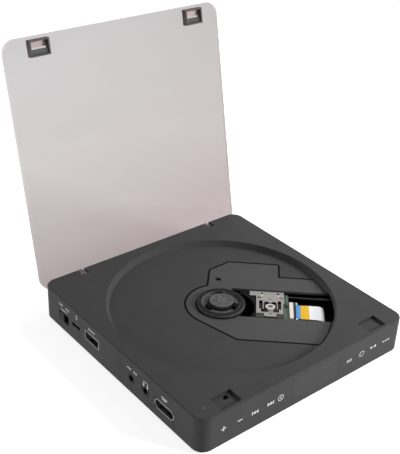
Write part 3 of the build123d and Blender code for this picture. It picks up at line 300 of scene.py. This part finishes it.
def in_drive(u, v, z):
    """A point of the drive's own frame, given in millimetres, in metres of the case's."""
    along = Vector((cos(drive_turn), -sin(drive_turn), 0.0))
    across = Vector((sin(drive_turn), cos(drive_turn), 0.0))
    return (along * u + across * v + Vector((0.0, 0.0, z))) / 1000


def alone():
    """Leaves nothing selected before a new piece is begun."""
    if bpy.context.object and bpy.context.object.mode == "EDIT":
        bpy.ops.object.mode_set(mode="OBJECT")
    bpy.ops.object.select_all(action="DESELECT")


def push(step):
    """Draws out what is selected, by a step in metres."""
    bpy.ops.mesh.extrude_region_move(TRANSFORM_OT_translate={"value": step})


def work(piece, kind, **settings):
    """Works a modifier into a piece's mesh."""
    tool = piece.modifiers.new("tool", kind)
    for setting, value in settings.items():
        setattr(tool, setting, value)
    bpy.ops.object.modifier_apply(modifier="tool")


def settle(piece, name, body, slot, *finishes):
    """Leaves a finished piece with its place in its mesh, on its body, in its finish."""
    alone()
    piece.select_set(True)
    bpy.context.view_layer.objects.active = piece
    bpy.ops.object.transform_apply(location=True, rotation=True, scale=True)
    piece.name = name
    piece.data.name = name
    piece.data.materials.clear()
    for finish in finishes:
        piece.data.materials.append(finish)
    if body:
        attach(piece, body)
    return piece


# Painted shade in the gap round the drive cover: a black strip laid in the gap, where
# there is only shade, so that the gap shows dark. It bends in an arc round the
# turntable.
arc_radius = 19.6
arc_start = 234.9
arc_end = 115.0
arc_steps = 14
strip_path = [(51.6, -30.5), (9.4, -30.5)]
for step in range(arc_steps + 1):
    angle = radians(arc_start - step * (arc_start - arc_end) / arc_steps)
    strip_path.append((arc_radius * cos(angle), arc_radius * sin(angle)))
strip_path += [(-7.9, 34.2), (2.9, 43.9), (31.6, 43.9), (32.4, 43.1), (32.4, 30.5), (51.6, 30.5)]
alone()
bpy.ops.mesh.primitive_plane_add(size=0.0004)
strip = bpy.context.object
bpy.ops.object.mode_set(mode="EDIT")
bpy.ops.mesh.merge(type="CENTER")
bpy.ops.transform.translate(value=in_drive(*strip_path[0], 17.7))
bpy.ops.mesh.select_mode(type="VERT")
for here, there in zip(strip_path, strip_path[1:]):
    push(in_drive(there[0] - here[0], there[1] - here[1], 0.0))
bpy.ops.mesh.select_all(action="SELECT")
push((0.0, 0.0, 0.00095))
bpy.ops.object.mode_set(mode="OBJECT")
work(strip, "SOLIDIFY", thickness=0.00105, offset=0.0, use_even_offset=True)
# Painted shade: a near-black finish for the strip, standing in for the shade in the gap.
gap_shade_black = moulded(
    "gap_shade_black", (0.003, 0.003, 0.003), (0.006, 0.006, 0.006), 0.85, grain=3000.0, shine=0.05
)
settle(strip, "painted_gap_shade", "base", "damper_rubber", gap_shade_black)


# Drive chassis and its fixings: punched sheet steel, rubber bushes, and ground steel rods
# in black brackets. The chassis steel and the guide rods are darkened as painted shade,
# for the shade inside the slot. The small shafts and pins are bright.
grain_turn = 0.7
round_bar = (12.0, 12.0, 1.0)
# Painted shade: the chassis steel is given a near-black tone for the dark inside of the slot.
pressed_steel = metal(
    "pressed_steel", (0.035, 0.035, 0.036), (0.055, 0.055, 0.057), 0.50,
    (1.0, 12.0, 1.0), grain_turn,
)
dress(pressed_steel, "drive_chassis", "spindle_base", "catch_plates")
damper_rubber = moulded("damper_rubber", (0.020, 0.020, 0.020), (0.030, 0.030, 0.030), 0.85)
dress(damper_rubber, "bushes")
rod_steel = metal(
    "rod_steel", (0.55, 0.55, 0.56), (0.70, 0.70, 0.71), 0.20, round_bar, grain_turn
)
dress(rod_steel, "spindle_shaft", "motor_pinion", "hinge_pins")
# Painted shade: a darkened copy of the rod steel, for the guide rods that lie in the dark slot.
rod_steel_painted_shade = metal(
    "rod_steel_painted_shade", (0.050, 0.050, 0.052), (0.075, 0.075, 0.078), 0.32, round_bar, grain_turn
)
dress(rod_steel_painted_shade, "guide_rods")
port_black = moulded(
    "port_black", (0.008, 0.008, 0.008), (0.014, 0.014, 0.014), 0.45, shine=0.15
)
dress(port_black, "rod_brackets")


# Spindle motor and turntable: a plated rotor, copper windings, a black turntable with a
# rubber mat, and a black hub whose three sprung jaws hold the disc. The hub's face is
# grey. Below it, the hub's sides and the floors of its small holes are painted near
# black, as painted shade under the face's edge and in the holes.
copper_winding = metal(
    "copper_winding", (0.50, 0.20, 0.10), (0.70, 0.32, 0.17), 0.35, grain=2400.0, height=0.00003
)
dress(copper_winding, "spindle_stator")
motor_steel = metal("motor_steel", (0.20, 0.20, 0.205), (0.30, 0.30, 0.305), 0.36)
dress(motor_steel, "spindle_rotor", "feed_motor")
turntable_black = moulded(
    "turntable_black", (0.085, 0.085, 0.085), (0.105, 0.105, 0.105), 0.42, shine=0.15
)
dress(turntable_black, "turntable")
mat_rubber = moulded(
    "mat_rubber", (0.016, 0.016, 0.016), (0.022, 0.022, 0.022), 0.65, grain=1800.0, shine=0.1
)
dress(mat_rubber, "turntable_mat")
hub_black = moulded(
    "hub_black", (0.085, 0.085, 0.085), (0.115, 0.115, 0.116), 0.42, shine=0.15, drift=700.0
)


def painted_shade_below(material, axis, dark, full, colour):
    """Paints shade into a finish: a darker colour goes over to the finish's own, between two
    places.
    """
    tree = material.node_tree
    base = tree.nodes["Principled BSDF"].inputs["Base Color"]
    place = tree.nodes.new("ShaderNodeTexCoord")
    split = tree.nodes.new("ShaderNodeSeparateXYZ")
    tree.links.new(place.outputs["Object"], split.inputs["Vector"])
    share = ranged(tree, split.outputs[axis], dark, full)
    tree.links.new(mixed(tree, share, colour, base.links[0].from_socket), base)


# Painted shade: below its face the hub goes near black, for the shadow under the face's edge and in
# its holes.
painted_shade_below(hub_black, "Z", dark=0.02118, full=0.02134, colour=(0.006, 0.006, 0.006))
dress(hub_black, "chuck_hub")
jaw_black = moulded("jaw_black", (0.003, 0.003, 0.003), (0.006, 0.006, 0.006), 0.40, shine=0.03)
dress(jaw_black, "chuck_jaw_1", "chuck_jaw_2", "chuck_jaw_3")


# Centring claws: three black moulded noses round the hub, between its jaws. They lead
# the disc's bore over the hub.
claw_reach = 0.0081
claw_floor = 0.0194
half_rise = (0.0, 0.0, 0.0009)


def sheet(width, depth, place, turn):
    """A flat rectangle, in metres, with its place and turn in its mesh."""
    alone()
    bpy.ops.mesh.primitive_plane_add(size=1.0)
    piece = bpy.context.object
    piece.scale = (width, depth, 1.0)
    piece.rotation_euler = turn
    piece.location = place
    bpy.ops.object.transform_apply(location=True, rotation=True, scale=True)
    return piece


def face_outwards():
    """Turns the faces of the piece in hand outwards and ends its editing."""
    bpy.ops.mesh.select_all(action="SELECT")
    bpy.ops.mesh.normals_make_consistent(inside=False)
    bpy.ops.object.mode_set(mode="OBJECT")


for name, turn in (("claw_one", -183.0), ("claw_two", -63.0), ("claw_three", 57.0)):
    angle = radians(turn)
    place = (claw_reach * cos(angle), claw_reach * sin(angle), claw_floor)
    claw = sheet(0.0027, 0.0042, place, (0.0, 0.0, angle))
    bpy.ops.object.mode_set(mode="EDIT")
    push(half_rise)
    push(half_rise)
    bpy.ops.transform.resize(value=(0.7, 0.7, 1.0))
    face_outwards()
    work(claw, "BEVEL", width=0.00025, segments=2)
    settle(claw, name, "spindle", "jaw_black", jaw_black)


# Turntable bead: a polished black bead turned on the turntable's rim, where it catches
# the light.
def thicken(step):
    """Draws the whole outline in hand out into a closed wall or plate."""
    bpy.ops.object.mode_set(mode="EDIT")
    bpy.ops.mesh.select_all(action="SELECT")
    push(step)
    face_outwards()


bead_polish = moulded(
    "bead_polish", (0.010, 0.010, 0.010), (0.014, 0.014, 0.014), 0.16, height=0.000001
)
alone()
bpy.ops.mesh.primitive_circle_add(
    vertices=96, radius=0.01295, fill_type="NOTHING", location=(0.0, 0.0, 0.0184)
)
bead = bpy.context.object
thicken((0.0, 0.0, 0.0006))
work(bead, "SOLIDIFY", thickness=0.0003, offset=1.0)
work(bead, "BEVEL", width=0.00014, segments=4, limit_method="ANGLE")
bpy.ops.object.shade_smooth_by_angle(angle=radians(50.0))
settle(bead, "turntable_bead", "spindle", "turntable_black", bead_polish)


# Pickup: a cast body in black, with a bright pressed plate screwed over it. The plate is
# punched out round the lens, its coils and its magnets.
sled_cast = moulded(
    "sled_cast", (0.004, 0.004, 0.004), (0.010, 0.010, 0.011), 0.45, grain=1600.0, shine=0.05
)
dress(sled_cast, "pickup_body")
cover_silver = metal(
    "cover_silver", (0.34, 0.32, 0.31), (0.43, 0.405, 0.395), 0.42, (1.0, 8.0, 1.0), grain_turn
)


def within(u, v, fields):
    """Whether a point of the drive lies in one of the fields."""
    return any(field[0] < u < field[1] and field[2] < v < field[3] for field in fields)


def punched(kept, gone, low, high):
    """A flat plate of the drive: fields that are kept, less fields that are punched out.

    What is left of each row becomes one face, so that the mesh is the same every time.
    """
    fields = kept + gone
    us = sorted({field[0] for field in fields} | {field[1] for field in fields})
    vs = sorted({field[2] for field in fields} | {field[3] for field in fields})
    middle = in_drive((us[0] + us[-1]) / 2, (vs[0] + vs[-1]) / 2, low)
    length = (us[-1] - us[0]) / 1000
    breadth = (vs[-1] - vs[0]) / 1000
    piece = sheet(length, breadth, middle, (0.0, 0.0, -drive_turn))
    cuts = [(in_drive(u, 0.0, low), in_drive(1.0, 0.0, 0.0)) for u in us[1:-1]]
    cuts += [(in_drive(0.0, v, low), in_drive(0.0, 1.0, 0.0)) for v in vs[1:-1]]
    bpy.ops.object.mode_set(mode="EDIT")
    for place, facing in cuts:
        bpy.ops.mesh.select_all(action="SELECT")
        bpy.ops.mesh.bisect(plane_co=place, plane_no=facing.normalized())
    bpy.ops.mesh.select_mode(type="FACE")
    shape = bmesh.from_edit_mesh(piece.data)
    for face in shape.faces:
        middle = face.calc_center_median() * 1000
        u = middle.dot(in_drive(1000.0, 0.0, 0.0))
        v = middle.dot(in_drive(0.0, 1000.0, 0.0))
        face.select_set(not within(u, v, kept) or within(u, v, gone))
    bmesh.update_edit_mesh(piece.data)
    bpy.ops.mesh.delete(type="FACE")
    shape = bmesh.from_edit_mesh(piece.data)
    row_joints = []
    for edge in shape.edges:
        line = (edge.verts[1].co - edge.verts[0].co).normalized()
        if len(edge.link_faces) == 2 and abs(line.dot(in_drive(0.0, 1000.0, 0.0))) > 0.5:
            row_joints.append(edge)
    bmesh.ops.dissolve_edges(shape, edges=row_joints, use_verts=True)
    bmesh.update_edit_mesh(piece.data)
    bpy.ops.mesh.select_all(action="SELECT")
    push((0.0, 0.0, (high - low) / 1000))
    face_outwards()
    return piece


plate = punched(
    [
        (19.3, 34.1, -4.6, 16.2), (34.1, 34.8, 5.0, 16.2),
        (23.6, 30.2, -7.4, -4.6), (15.6, 19.3, 11.8, 16.2),
    ],
    [
        (20.9, 22.8, -0.6, 7.3), (31.2, 33.0, -0.6, 7.3),
        (22.0, 31.6, -3.4, -0.6),
        (23.4, 30.6, -0.6, 5.2), (23.9, 26.2, 5.2, 6.3), (27.8, 30.2, 5.2, 6.3),
        (21.9, 23.0, 13.7, 15.1), (30.8, 32.0, 13.5, 15.0),
        (20.2, 22.2, 9.6, 10.3), (20.2, 20.9, 10.3, 11.1), (32.2, 34.1, 9.8, 10.5),
        (26.5, 27.4, 8.6, 9.5), (26.6, 27.6, -5.5, -4.6),
    ],
    17.6, 18.0,
)
work(plate, "BEVEL", width=0.00009, segments=2, limit_method="ANGLE", use_clamp_overlap=False)
settle(plate, "pickup_plate", "sled", "cover_silver", cover_silver)
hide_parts("pickup_cover")


# Pickup skirt: a bronze-brown step of the casting along the plate's front edge.
skirt_bronze = metal(
    "skirt_bronze", (0.065, 0.056, 0.052), (0.095, 0.084, 0.078), 0.45,
    (1.0, 6.0, 1.0), grain_turn,
)
skirt = punched([(19.3, 34.0, -8.3, -4.2)], [(23.5, 30.3, -8.3, -7.6)], 17.6, 17.78)
settle(skirt, "pickup_skirt", "sled", "cover_silver", skirt_bronze)


# Plate rivets: two bright round heads with rounded edges, near the plate's rear edge.
rivet_bright = metal("rivet_bright", (0.62, 0.60, 0.58), (0.74, 0.72, 0.70), 0.25)
rivet_radius = 0.7 / 1000
rivet_height = 0.3 / 1000
for name, u, v in (("plate_rivet_one", 22.4, 12.1), ("plate_rivet_two", 31.4, 12.2)):
    alone()
    bpy.ops.mesh.primitive_circle_add(
        vertices=24, radius=rivet_radius, fill_type="NGON", location=in_drive(u, v, 17.95)
    )
    rivet = bpy.context.object
    bpy.ops.object.mode_set(mode="EDIT")
    push((0.0, 0.0, rivet_height))
    bpy.ops.mesh.bevel(offset=0.3 * rivet_radius, segments=3, affect="EDGES")
    face_outwards()
    settle(rivet, name, "sled", "cover_silver", rivet_bright)


# Actuator: dark magnets and windings at both ends of a black carrier, with the domed
# lens in a bright ring at its middle. The lid's magnets are plated.
magnet = metal("magnet", (0.09, 0.095, 0.095), (0.15, 0.155, 0.155), 0.50)
dress(magnet, "lid_magnets")
magnet_dark = moulded(
    "magnet_dark", (0.010, 0.004, 0.005), (0.018, 0.007, 0.008), 0.40, shine=0.2
)
dress(magnet_dark, "actuator_magnets")
coil_dark = moulded(
    "coil_dark", (0.040, 0.018, 0.018), (0.065, 0.030, 0.028), 0.40, grain=4000.0, shine=0.2
)
dress(coil_dark, "focus_coils")
lens_carrier = moulded(
    "lens_carrier", (0.010, 0.008, 0.009), (0.020, 0.015, 0.016), 0.38, shine=0.3
)
dress(lens_carrier, "lens_holder")
lens_glass = moulded("lens_glass", (0.16, 0.16, 0.17), (0.22, 0.22, 0.23), 0.08)
dress(lens_glass, "objective_lens")
alone()
bpy.ops.mesh.primitive_circle_add(
    vertices=32, radius=0.0026, fill_type="NGON", location=in_drive(27.0, 0.9, 17.9)
)
lens_ring = bpy.context.object
bpy.ops.object.mode_set(mode="EDIT")
bpy.ops.mesh.inset(thickness=0.0011)
bpy.ops.mesh.delete(type="FACE")
thicken((0.0, 0.0, 0.0007))
settle(lens_ring, "lens_ring", "lens", "cover_silver", rivet_bright)
carrier_arms = punched([(23.7, 24.7, -0.4, 4.5), (29.4, 30.4, -0.4, 4.5)], [], 17.2, 17.9)
settle(carrier_arms, "carrier_arms", "lens", "lens_carrier", coil_dark)
carrier_tab = punched([(25.7, 28.5, -3.2, -0.9)], [], 17.3, 17.99)
settle(carrier_tab, "carrier_tab", "lens", "cover_silver", cover_silver)


# Pickup board: a thin green board at the sled's outer end with a row of solder pads and
# a chip, and the ribbon's connector with its black lock. The gears are moulded in nylon.
pickup_green = moulded(
    "pickup_green", (0.080, 0.115, 0.090), (0.120, 0.160, 0.130), 0.42,
    grain=900.0, shine=0.2, drift=160.0,
)
dress(pickup_green, "pickup_board")
connector_cream = moulded(
    "connector_cream", (0.70, 0.63, 0.59), (0.80, 0.74, 0.70), 0.42, shine=0.3
)
dress(connector_cream, "pickup_connector", "ribbon_socket")
chip_black = moulded(
    "chip_black", (0.010, 0.010, 0.011), (0.016, 0.016, 0.017), 0.55, shine=0.2
)
dress(chip_black, "board_chips", "lid_sensor")
pad_pitch = 1.6
pad_fields = [(35.1, 35.7, 5.0 + pad_pitch * k, 5.9 + pad_pitch * k) for k in range(6)]
pads = punched(pad_fields, [], 17.4, 17.5)
settle(pads, "board_pads", "sled", "chip_black", chip_black)
chip = punched([(35.3, 36.4, 2.4, 4.4)], [], 17.4, 18.0)
settle(chip, "pickup_chip", "sled", "chip_black", chip_black)
lock = punched([(39.7, 40.95, -8.3, 6.9)], [], 17.45, 18.42)
settle(lock, "connector_lock", "sled", "chip_black", chip_black)
lock_ends = punched(
    [(41.0, 41.9, 4.9, 6.9), (40.7, 41.7, -9.0, -8.0)], [(41.7, 41.9, -9.0, -8.0)], 17.6, 18.1
)
settle(lock_ends, "lock_ends", "sled", "connector_cream", connector_cream)
gear_nylon = moulded("gear_nylon", (0.50, 0.48, 0.44), (0.58, 0.56, 0.52), 0.40)
dress(gear_nylon, "feed_rack", "final_gear", "idler_gear")


# Ribbon cable: a flat lead that leaves the pickup's connector, turns down and doubles
# back to the main board. Its end is stiffened in blue, then come a yellow tape and the
# white film.
ribbon_top = 17.75
bend_u = 53.2
bend_radius = 3.6
bend_steps = 6
blue_end = 43.5
yellow_end = 47.8
straight = (41.6, 42.5, blue_end, 45.0, 46.4, yellow_end, 49.4, 51.2, bend_u)
ribbon_path = [(u, ribbon_top) for u in straight]
for step in range(1, bend_steps + 1):
    angle = pi / 2 * step / bend_steps
    ribbon_path.append((bend_u + bend_radius * sin(angle), 14.15 + bend_radius * cos(angle)))
ribbon_path.append((56.8, 11.7))
for step in range(bend_steps + 1):
    angle = pi / 2 * step / bend_steps
    ribbon_path.append((bend_u + bend_radius * cos(angle), 9.2 - bend_radius * sin(angle)))
ribbon_path.append((46.5, 5.6))
along = in_drive(1000.0, 0.0, 0.0)
ribbon = sheet(0.0013, 0.0126, in_drive(40.05, -1.5, ribbon_top), (0.0, 0.0, -drive_turn))


def edge_at(piece, u):
    """Selects the ribbon's end edge at a distance along the drive."""
    close = 1e-6
    shape = bmesh.from_edit_mesh(piece.data)
    for vertex in shape.verts:
        vertex.select = False
    for edge in shape.edges:
        first, second = (vertex.co.dot(along) for vertex in edge.verts)
        edge.select = abs((first + second) / 2 - u / 1000) < close and abs(first - second) < close
    shape.select_flush(True)
    bmesh.update_edit_mesh(piece.data)


bpy.ops.object.mode_set(mode="EDIT")
bpy.ops.mesh.select_mode(type="EDGE")
reached = (40.7, ribbon_top)
edge_at(ribbon, reached[0])
for stop in ribbon_path:
    push(in_drive(stop[0] - reached[0], 0.0, stop[1] - reached[1]))
    reached = stop
bpy.ops.object.mode_set(mode="OBJECT")
work(ribbon, "SOLIDIFY", thickness=0.00022, offset=0.0)
ribbon_white = moulded("ribbon_white", (0.80, 0.80, 0.82), (0.88, 0.88, 0.89), 0.35, drift=60.0)
ribbon_yellow = moulded(
    "ribbon_yellow", (0.74, 0.40, 0.015), (0.86, 0.50, 0.03), 0.35, shine=0.2, drift=60.0
)
ribbon_blue = moulded(
    "ribbon_blue", (0.06, 0.27, 0.60), (0.12, 0.36, 0.70), 0.35, shine=0.2, drift=60.0
)
settle(ribbon, "ribbon_lead", None, "ribbon_film", ribbon_white, ribbon_yellow, ribbon_blue)
for face in ribbon.data.polygons:
    reach = face.center.dot(along) * 1000
    if face.center.z > 0.0172 and reach < blue_end:
        face.material_index = 2
    elif face.center.z > 0.0172 and reach < yellow_end:
        face.material_index = 1
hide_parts("ribbon_cable")
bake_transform(ribbon)


# Sockets on the left side: folded and tinned steel shells round black tongues, black
# jacks, and a power switch with a ribbed knob whose gaps are painted near black as painted shade.
port_steel = metal("port_steel", (0.48, 0.48, 0.49), (0.62, 0.62, 0.63), 0.30, (1.0, 8.0, 8.0))
dress(port_steel, "usb_shell", "video_shell", "laser_diode")
socket_dark = metal("socket_dark", (0.10, 0.10, 0.10), (0.16, 0.16, 0.16), 0.40)
dress(socket_dark, "power_socket")
dress(port_black, "usb_tongue", "socket_bases", "video_tongue", "av_jack", "phone_jack")
dress(port_black, "switch_can")
knob_black = moulded(
    "knob_black", (0.032, 0.032, 0.032), (0.045, 0.045, 0.045), 0.48, shine=0.12
)
# Painted shade: the knob goes near black where it lies back from its outer face, in the gaps
# between its ribs.
painted_shade_below(knob_black, "X", dark=-0.06995, full=-0.07012, colour=(0.004, 0.004, 0.004))
dress(knob_black, "switch_knob")


# Front marks: white ink, pad-printed over the touch keys: plus, minus, the two skips, a
# round menu mark, play and pause, repeat, a span of two blocks and a row of three.
ink_white = moulded(
    "ink_white", (0.62, 0.62, 0.62), (0.74, 0.74, 0.74), 0.50,
    grain=5200.0, height=0.000004, drift=400.0,
)
front = -0.070
ink = 0.00003
front_ink = (0.0, -ink, 0.0)
upright = (pi / 2, 0.0, 0.0)


def printed(stroke, ink_step, turn=(0.0, 0.0, 0.0)):
    """Turns a flat stroke on its wall and gives the ink its thickness."""
    bpy.ops.object.transform_apply(location=False, rotation=True, scale=True)
    stroke.rotation_euler = turn
    bpy.ops.object.transform_apply(location=True, rotation=True, scale=True)
    thicken(ink_step)
    return stroke


def bar(x, z, width, height, turn=0.0):
    """A printed stroke on the front, a thin plate of ink."""
    alone()
    place = (x / 1000, front, z / 1000)
    bpy.ops.mesh.primitive_plane_add(size=0.001, location=place, rotation=upright)
    stroke = bpy.context.object
    stroke.scale = (width, height, 1.0)
    return printed(stroke, front_ink, (0.0, turn, 0.0))


def round_stroke(x, z, radius, corners):
    """A flat figure on the front with equal sides, from three corners up to a circle."""
    alone()
    bpy.ops.mesh.primitive_circle_add(
        vertices=corners, radius=radius / 1000, fill_type="NGON",
        location=(x / 1000, front, z / 1000), rotation=upright,
    )
    return bpy.context.object


def wedge(x, z, size, facing):
    """A printed triangle that points left (-1) or right (1)."""
    return printed(round_stroke(x, z, size, 3), front_ink, (0.0, facing * pi / 2, 0.0))


def ring(x, z, radius, line):
    """A printed circle."""
    stroke = round_stroke(x, z, radius, 28)
    bpy.ops.object.mode_set(mode="EDIT")
    bpy.ops.mesh.inset(thickness=line / 1000)
    bpy.ops.mesh.delete(type="FACE")
    bpy.ops.object.mode_set(mode="OBJECT")
    return printed(stroke, front_ink)


def mark(name, *strokes):
    """Joins the strokes of a printed mark into one piece."""
    alone()
    for stroke in strokes:
        stroke.select_set(True)
    bpy.context.view_layer.objects.active = strokes[0]
    if len(strokes) > 1:
        bpy.ops.object.join()
    settle(strokes[0], name, "base", "case_plastic", ink_white)


mark("plus_mark", bar(-56.4, 11.6, 3.0, 0.62), bar(-56.4, 11.6, 0.62, 3.0))
mark("minus_mark", bar(-46.3, 11.4, 2.9, 0.62))
mark(
    "skip_back_mark",
    bar(-38.6, 11.2, 0.5, 2.2), wedge(-37.1, 11.2, 1.25, -1), wedge(-35.3, 11.2, 1.25, -1),
)
mark(
    "skip_forward_mark",
    wedge(-28.2, 11.5, 1.25, 1), wedge(-26.4, 11.5, 1.25, 1), bar(-24.9, 11.5, 0.5, 2.2),
)
mark(
    "menu_mark",
    ring(-20.1, 11.7, 1.9, 0.35),
    bar(-20.1, 12.3, 1.6, 0.35, 0.5), bar(-20.1, 11.2, 1.6, 0.35, 0.5),
)
mark(
    "play_pause_mark",
    wedge(27.2, 11.6, 1.1, 1), bar(28.7, 11.6, 0.45, 1.9), bar(29.6, 11.6, 0.45, 1.9),
)
mark(
    "repeat_mark",
    ring(37.7, 11.8, 1.7, 0.35), wedge(39.2, 12.4, 0.7, 1), wedge(36.2, 11.2, 0.7, -1),
)
mark(
    "span_mark",
    bar(45.0, 12.4, 1.2, 1.4), bar(46.5, 12.4, 0.8, 0.4), bar(48.0, 12.4, 1.2, 1.4),
)
mark("mode_mark", *[bar(x, 12.1, 1.3, 0.8) for x in (54.6, 56.6, 58.6)])


# Left side marks: the same white ink over the sockets: words for the two ends of the
# power switch, a spark for the power socket, a headphone arch, and plain bars.
left = -0.070
side_ink = (-ink, 0.0, 0.0)


def side_bar(y, z, width, height, turn=0.0):
    """A printed stroke on the left side, a thin plate of ink."""
    alone()
    place = (left, y / 1000, z / 1000)
    bpy.ops.mesh.primitive_plane_add(size=0.001, location=place, rotation=(0.0, pi / 2, 0.0))
    stroke = bpy.context.object
    stroke.scale = (height, width, 1.0)
    return printed(stroke, side_ink, (turn, 0.0, 0.0))


def side_word(y, z, letters, size):
    """A printed word on the left side."""
    alone()
    place = (left, y / 1000, z / 1000)
    bpy.ops.object.text_add(location=place, rotation=(pi / 2, 0.0, -pi / 2))
    word = bpy.context.object
    word.data.body = letters
    word.data.size = size / 1000
    word.data.resolution_u = 3
    bpy.ops.object.convert(target="MESH")
    word = bpy.context.object
    bpy.ops.object.transform_apply(location=True, rotation=True, scale=True)
    bpy.ops.object.mode_set(mode="EDIT")
    bpy.ops.mesh.select_all(action="SELECT")
    bpy.ops.mesh.remove_doubles(threshold=0.000002)
    thicken(side_ink)
    return word


mark("switch_words", side_word(53.3, 17.0, "OFF", 2.3), side_word(46.9, 17.0, "ON", 2.3))
mark(
    "switch_dots",
    side_bar(51.0, 15.3, 0.7, 0.7), side_bar(48.6, 15.3, 3.0, 0.5), side_bar(46.2, 15.3, 0.7, 0.7),
)
mark(
    "spark_mark",
    side_bar(35.9, 18.9, 0.55, 1.6, 0.5), side_bar(35.6, 18.2, 1.2, 0.45),
    side_bar(35.4, 17.5, 0.55, 1.6, 0.5),
)
mark(
    "usb_mark",
    side_bar(21.0, 18.1, 4.6, 0.5), side_bar(23.4, 18.1, 1.0, 1.0), side_bar(18.6, 18.1, 0.9, 0.9),
)
mark(
    "line_out_mark",
    side_bar(-13.0, 16.5, 3.4, 0.6), side_bar(-17.4, 16.5, 0.8, 1.3),
    side_bar(-19.0, 16.5, 0.8, 1.3),
)
mark(
    "phones_mark",
    side_bar(-25.4, 14.4, 0.9, 1.7), side_bar(-28.6, 14.4, 0.9, 1.7),
    side_bar(-25.4, 15.9, 0.4, 1.6, -0.35), side_bar(-28.6, 15.9, 0.4, 1.6, 0.35),
    side_bar(-27.0, 16.7, 2.6, 0.4),
)
mark("video_mark", side_bar(-42.0, 16.9, 4.6, 0.6), side_bar(-42.0, 15.9, 3.2, 0.6))


# Lid: a clear acrylic panel with a light brownish smoke tint and polished edges, and
# two dark hinge arms moulded on it. It is drawn open on its stop.
lid_open = radians(101.4)
lid_normal = Vector((0.0, sin(lid_open), cos(lid_open)))
lid_up = Vector((0.0, -cos(lid_open), sin(lid_open)))
panel_face = 0.06689


def along_line(tree, direction):
    """How far a place on a piece lies along a direction."""
    place = tree.nodes.new("ShaderNodeTexCoord")
    step = tree.nodes.new("ShaderNodeVectorMath")
    step.operation = "DOT_PRODUCT"
    step.inputs[1].default_value = direction
    tree.links.new(place.outputs["Object"], step.inputs[0])
    return step.outputs["Value"]


def acrylic(name, upper, lower, arms, rough):
    """Tinted clear plastic, deeper in tone towards the hinge, with dark hinge arms."""
    material, tree, shader = new_finish(name)
    shader.inputs["Transmission Weight"].default_value = 1.0
    shader.inputs["Specular IOR Level"].default_value = 0.10
    shader.inputs["IOR"].default_value = 1.16
    shader.inputs["Roughness"].default_value = rough
    height = ranged(tree, along_line(tree, (-0.3, 0.0, 1.0)), 0.02, 0.15)
    in_panel = worked_out(tree, "GREATER_THAN", along_line(tree, lid_normal), panel_face)
    colour = mixed(tree, in_panel, arms, mixed(tree, height, lower, upper))
    tree.links.new(colour, shader.inputs["Base Color"])
    through = tree.nodes.new("ShaderNodeBsdfTransparent")
    tree.links.new(colour, through.inputs["Color"])
    path = tree.nodes.new("ShaderNodeLightPath")
    choice = tree.nodes.new("ShaderNodeMixShader")
    tree.links.new(path.outputs["Is Shadow Ray"], choice.inputs[0])
    tree.links.new(shader.outputs[0], choice.inputs[1])
    tree.links.new(through.outputs[0], choice.inputs[2])
    tree.links.new(choice.outputs[0], tree.nodes["Material Output"].inputs["Surface"])
    return material


lid_smoke = acrylic(
    "lid_smoke", upper=(0.525, 0.506, 0.511), lower=(0.352, 0.308, 0.305),
    arms=(0.030, 0.021, 0.021), rough=0.02,
)
dress(lid_smoke, "lid_panel")


# Latch blocks: open boxes of the same plastic, smoked darker, glued under the lid near
# its free edge. Each holds a magnet and a pink glue pad.
latch_smoke = moulded(
    "latch_smoke", (0.080, 0.068, 0.070), (0.105, 0.090, 0.092), 0.50, shine=0.12
)
latch_smoke.node_tree.nodes["Principled BSDF"].inputs["Transmission Weight"].default_value = 0.15
dress(latch_smoke, "latch_blocks")
glue_pink = moulded("glue_pink", (0.46, 0.36, 0.345), (0.55, 0.43, 0.41), 0.45, shine=0.2)
hinge_y = 0.06665
hinge_z = 0.0187
for x, name in ((-0.05045, "glue_pad_left"), (0.05045, "glue_pad_right")):
    place = Vector((x, hinge_y, hinge_z)) + lid_normal * 0.0052 + lid_up * 0.1322
    pad = sheet(0.0096, 0.0040, place, (-lid_open, 0.0, 0.0))
    thicken(lid_normal * -0.0004)
    settle(pad, name, "lid", "latch_smoke", glue_pink)
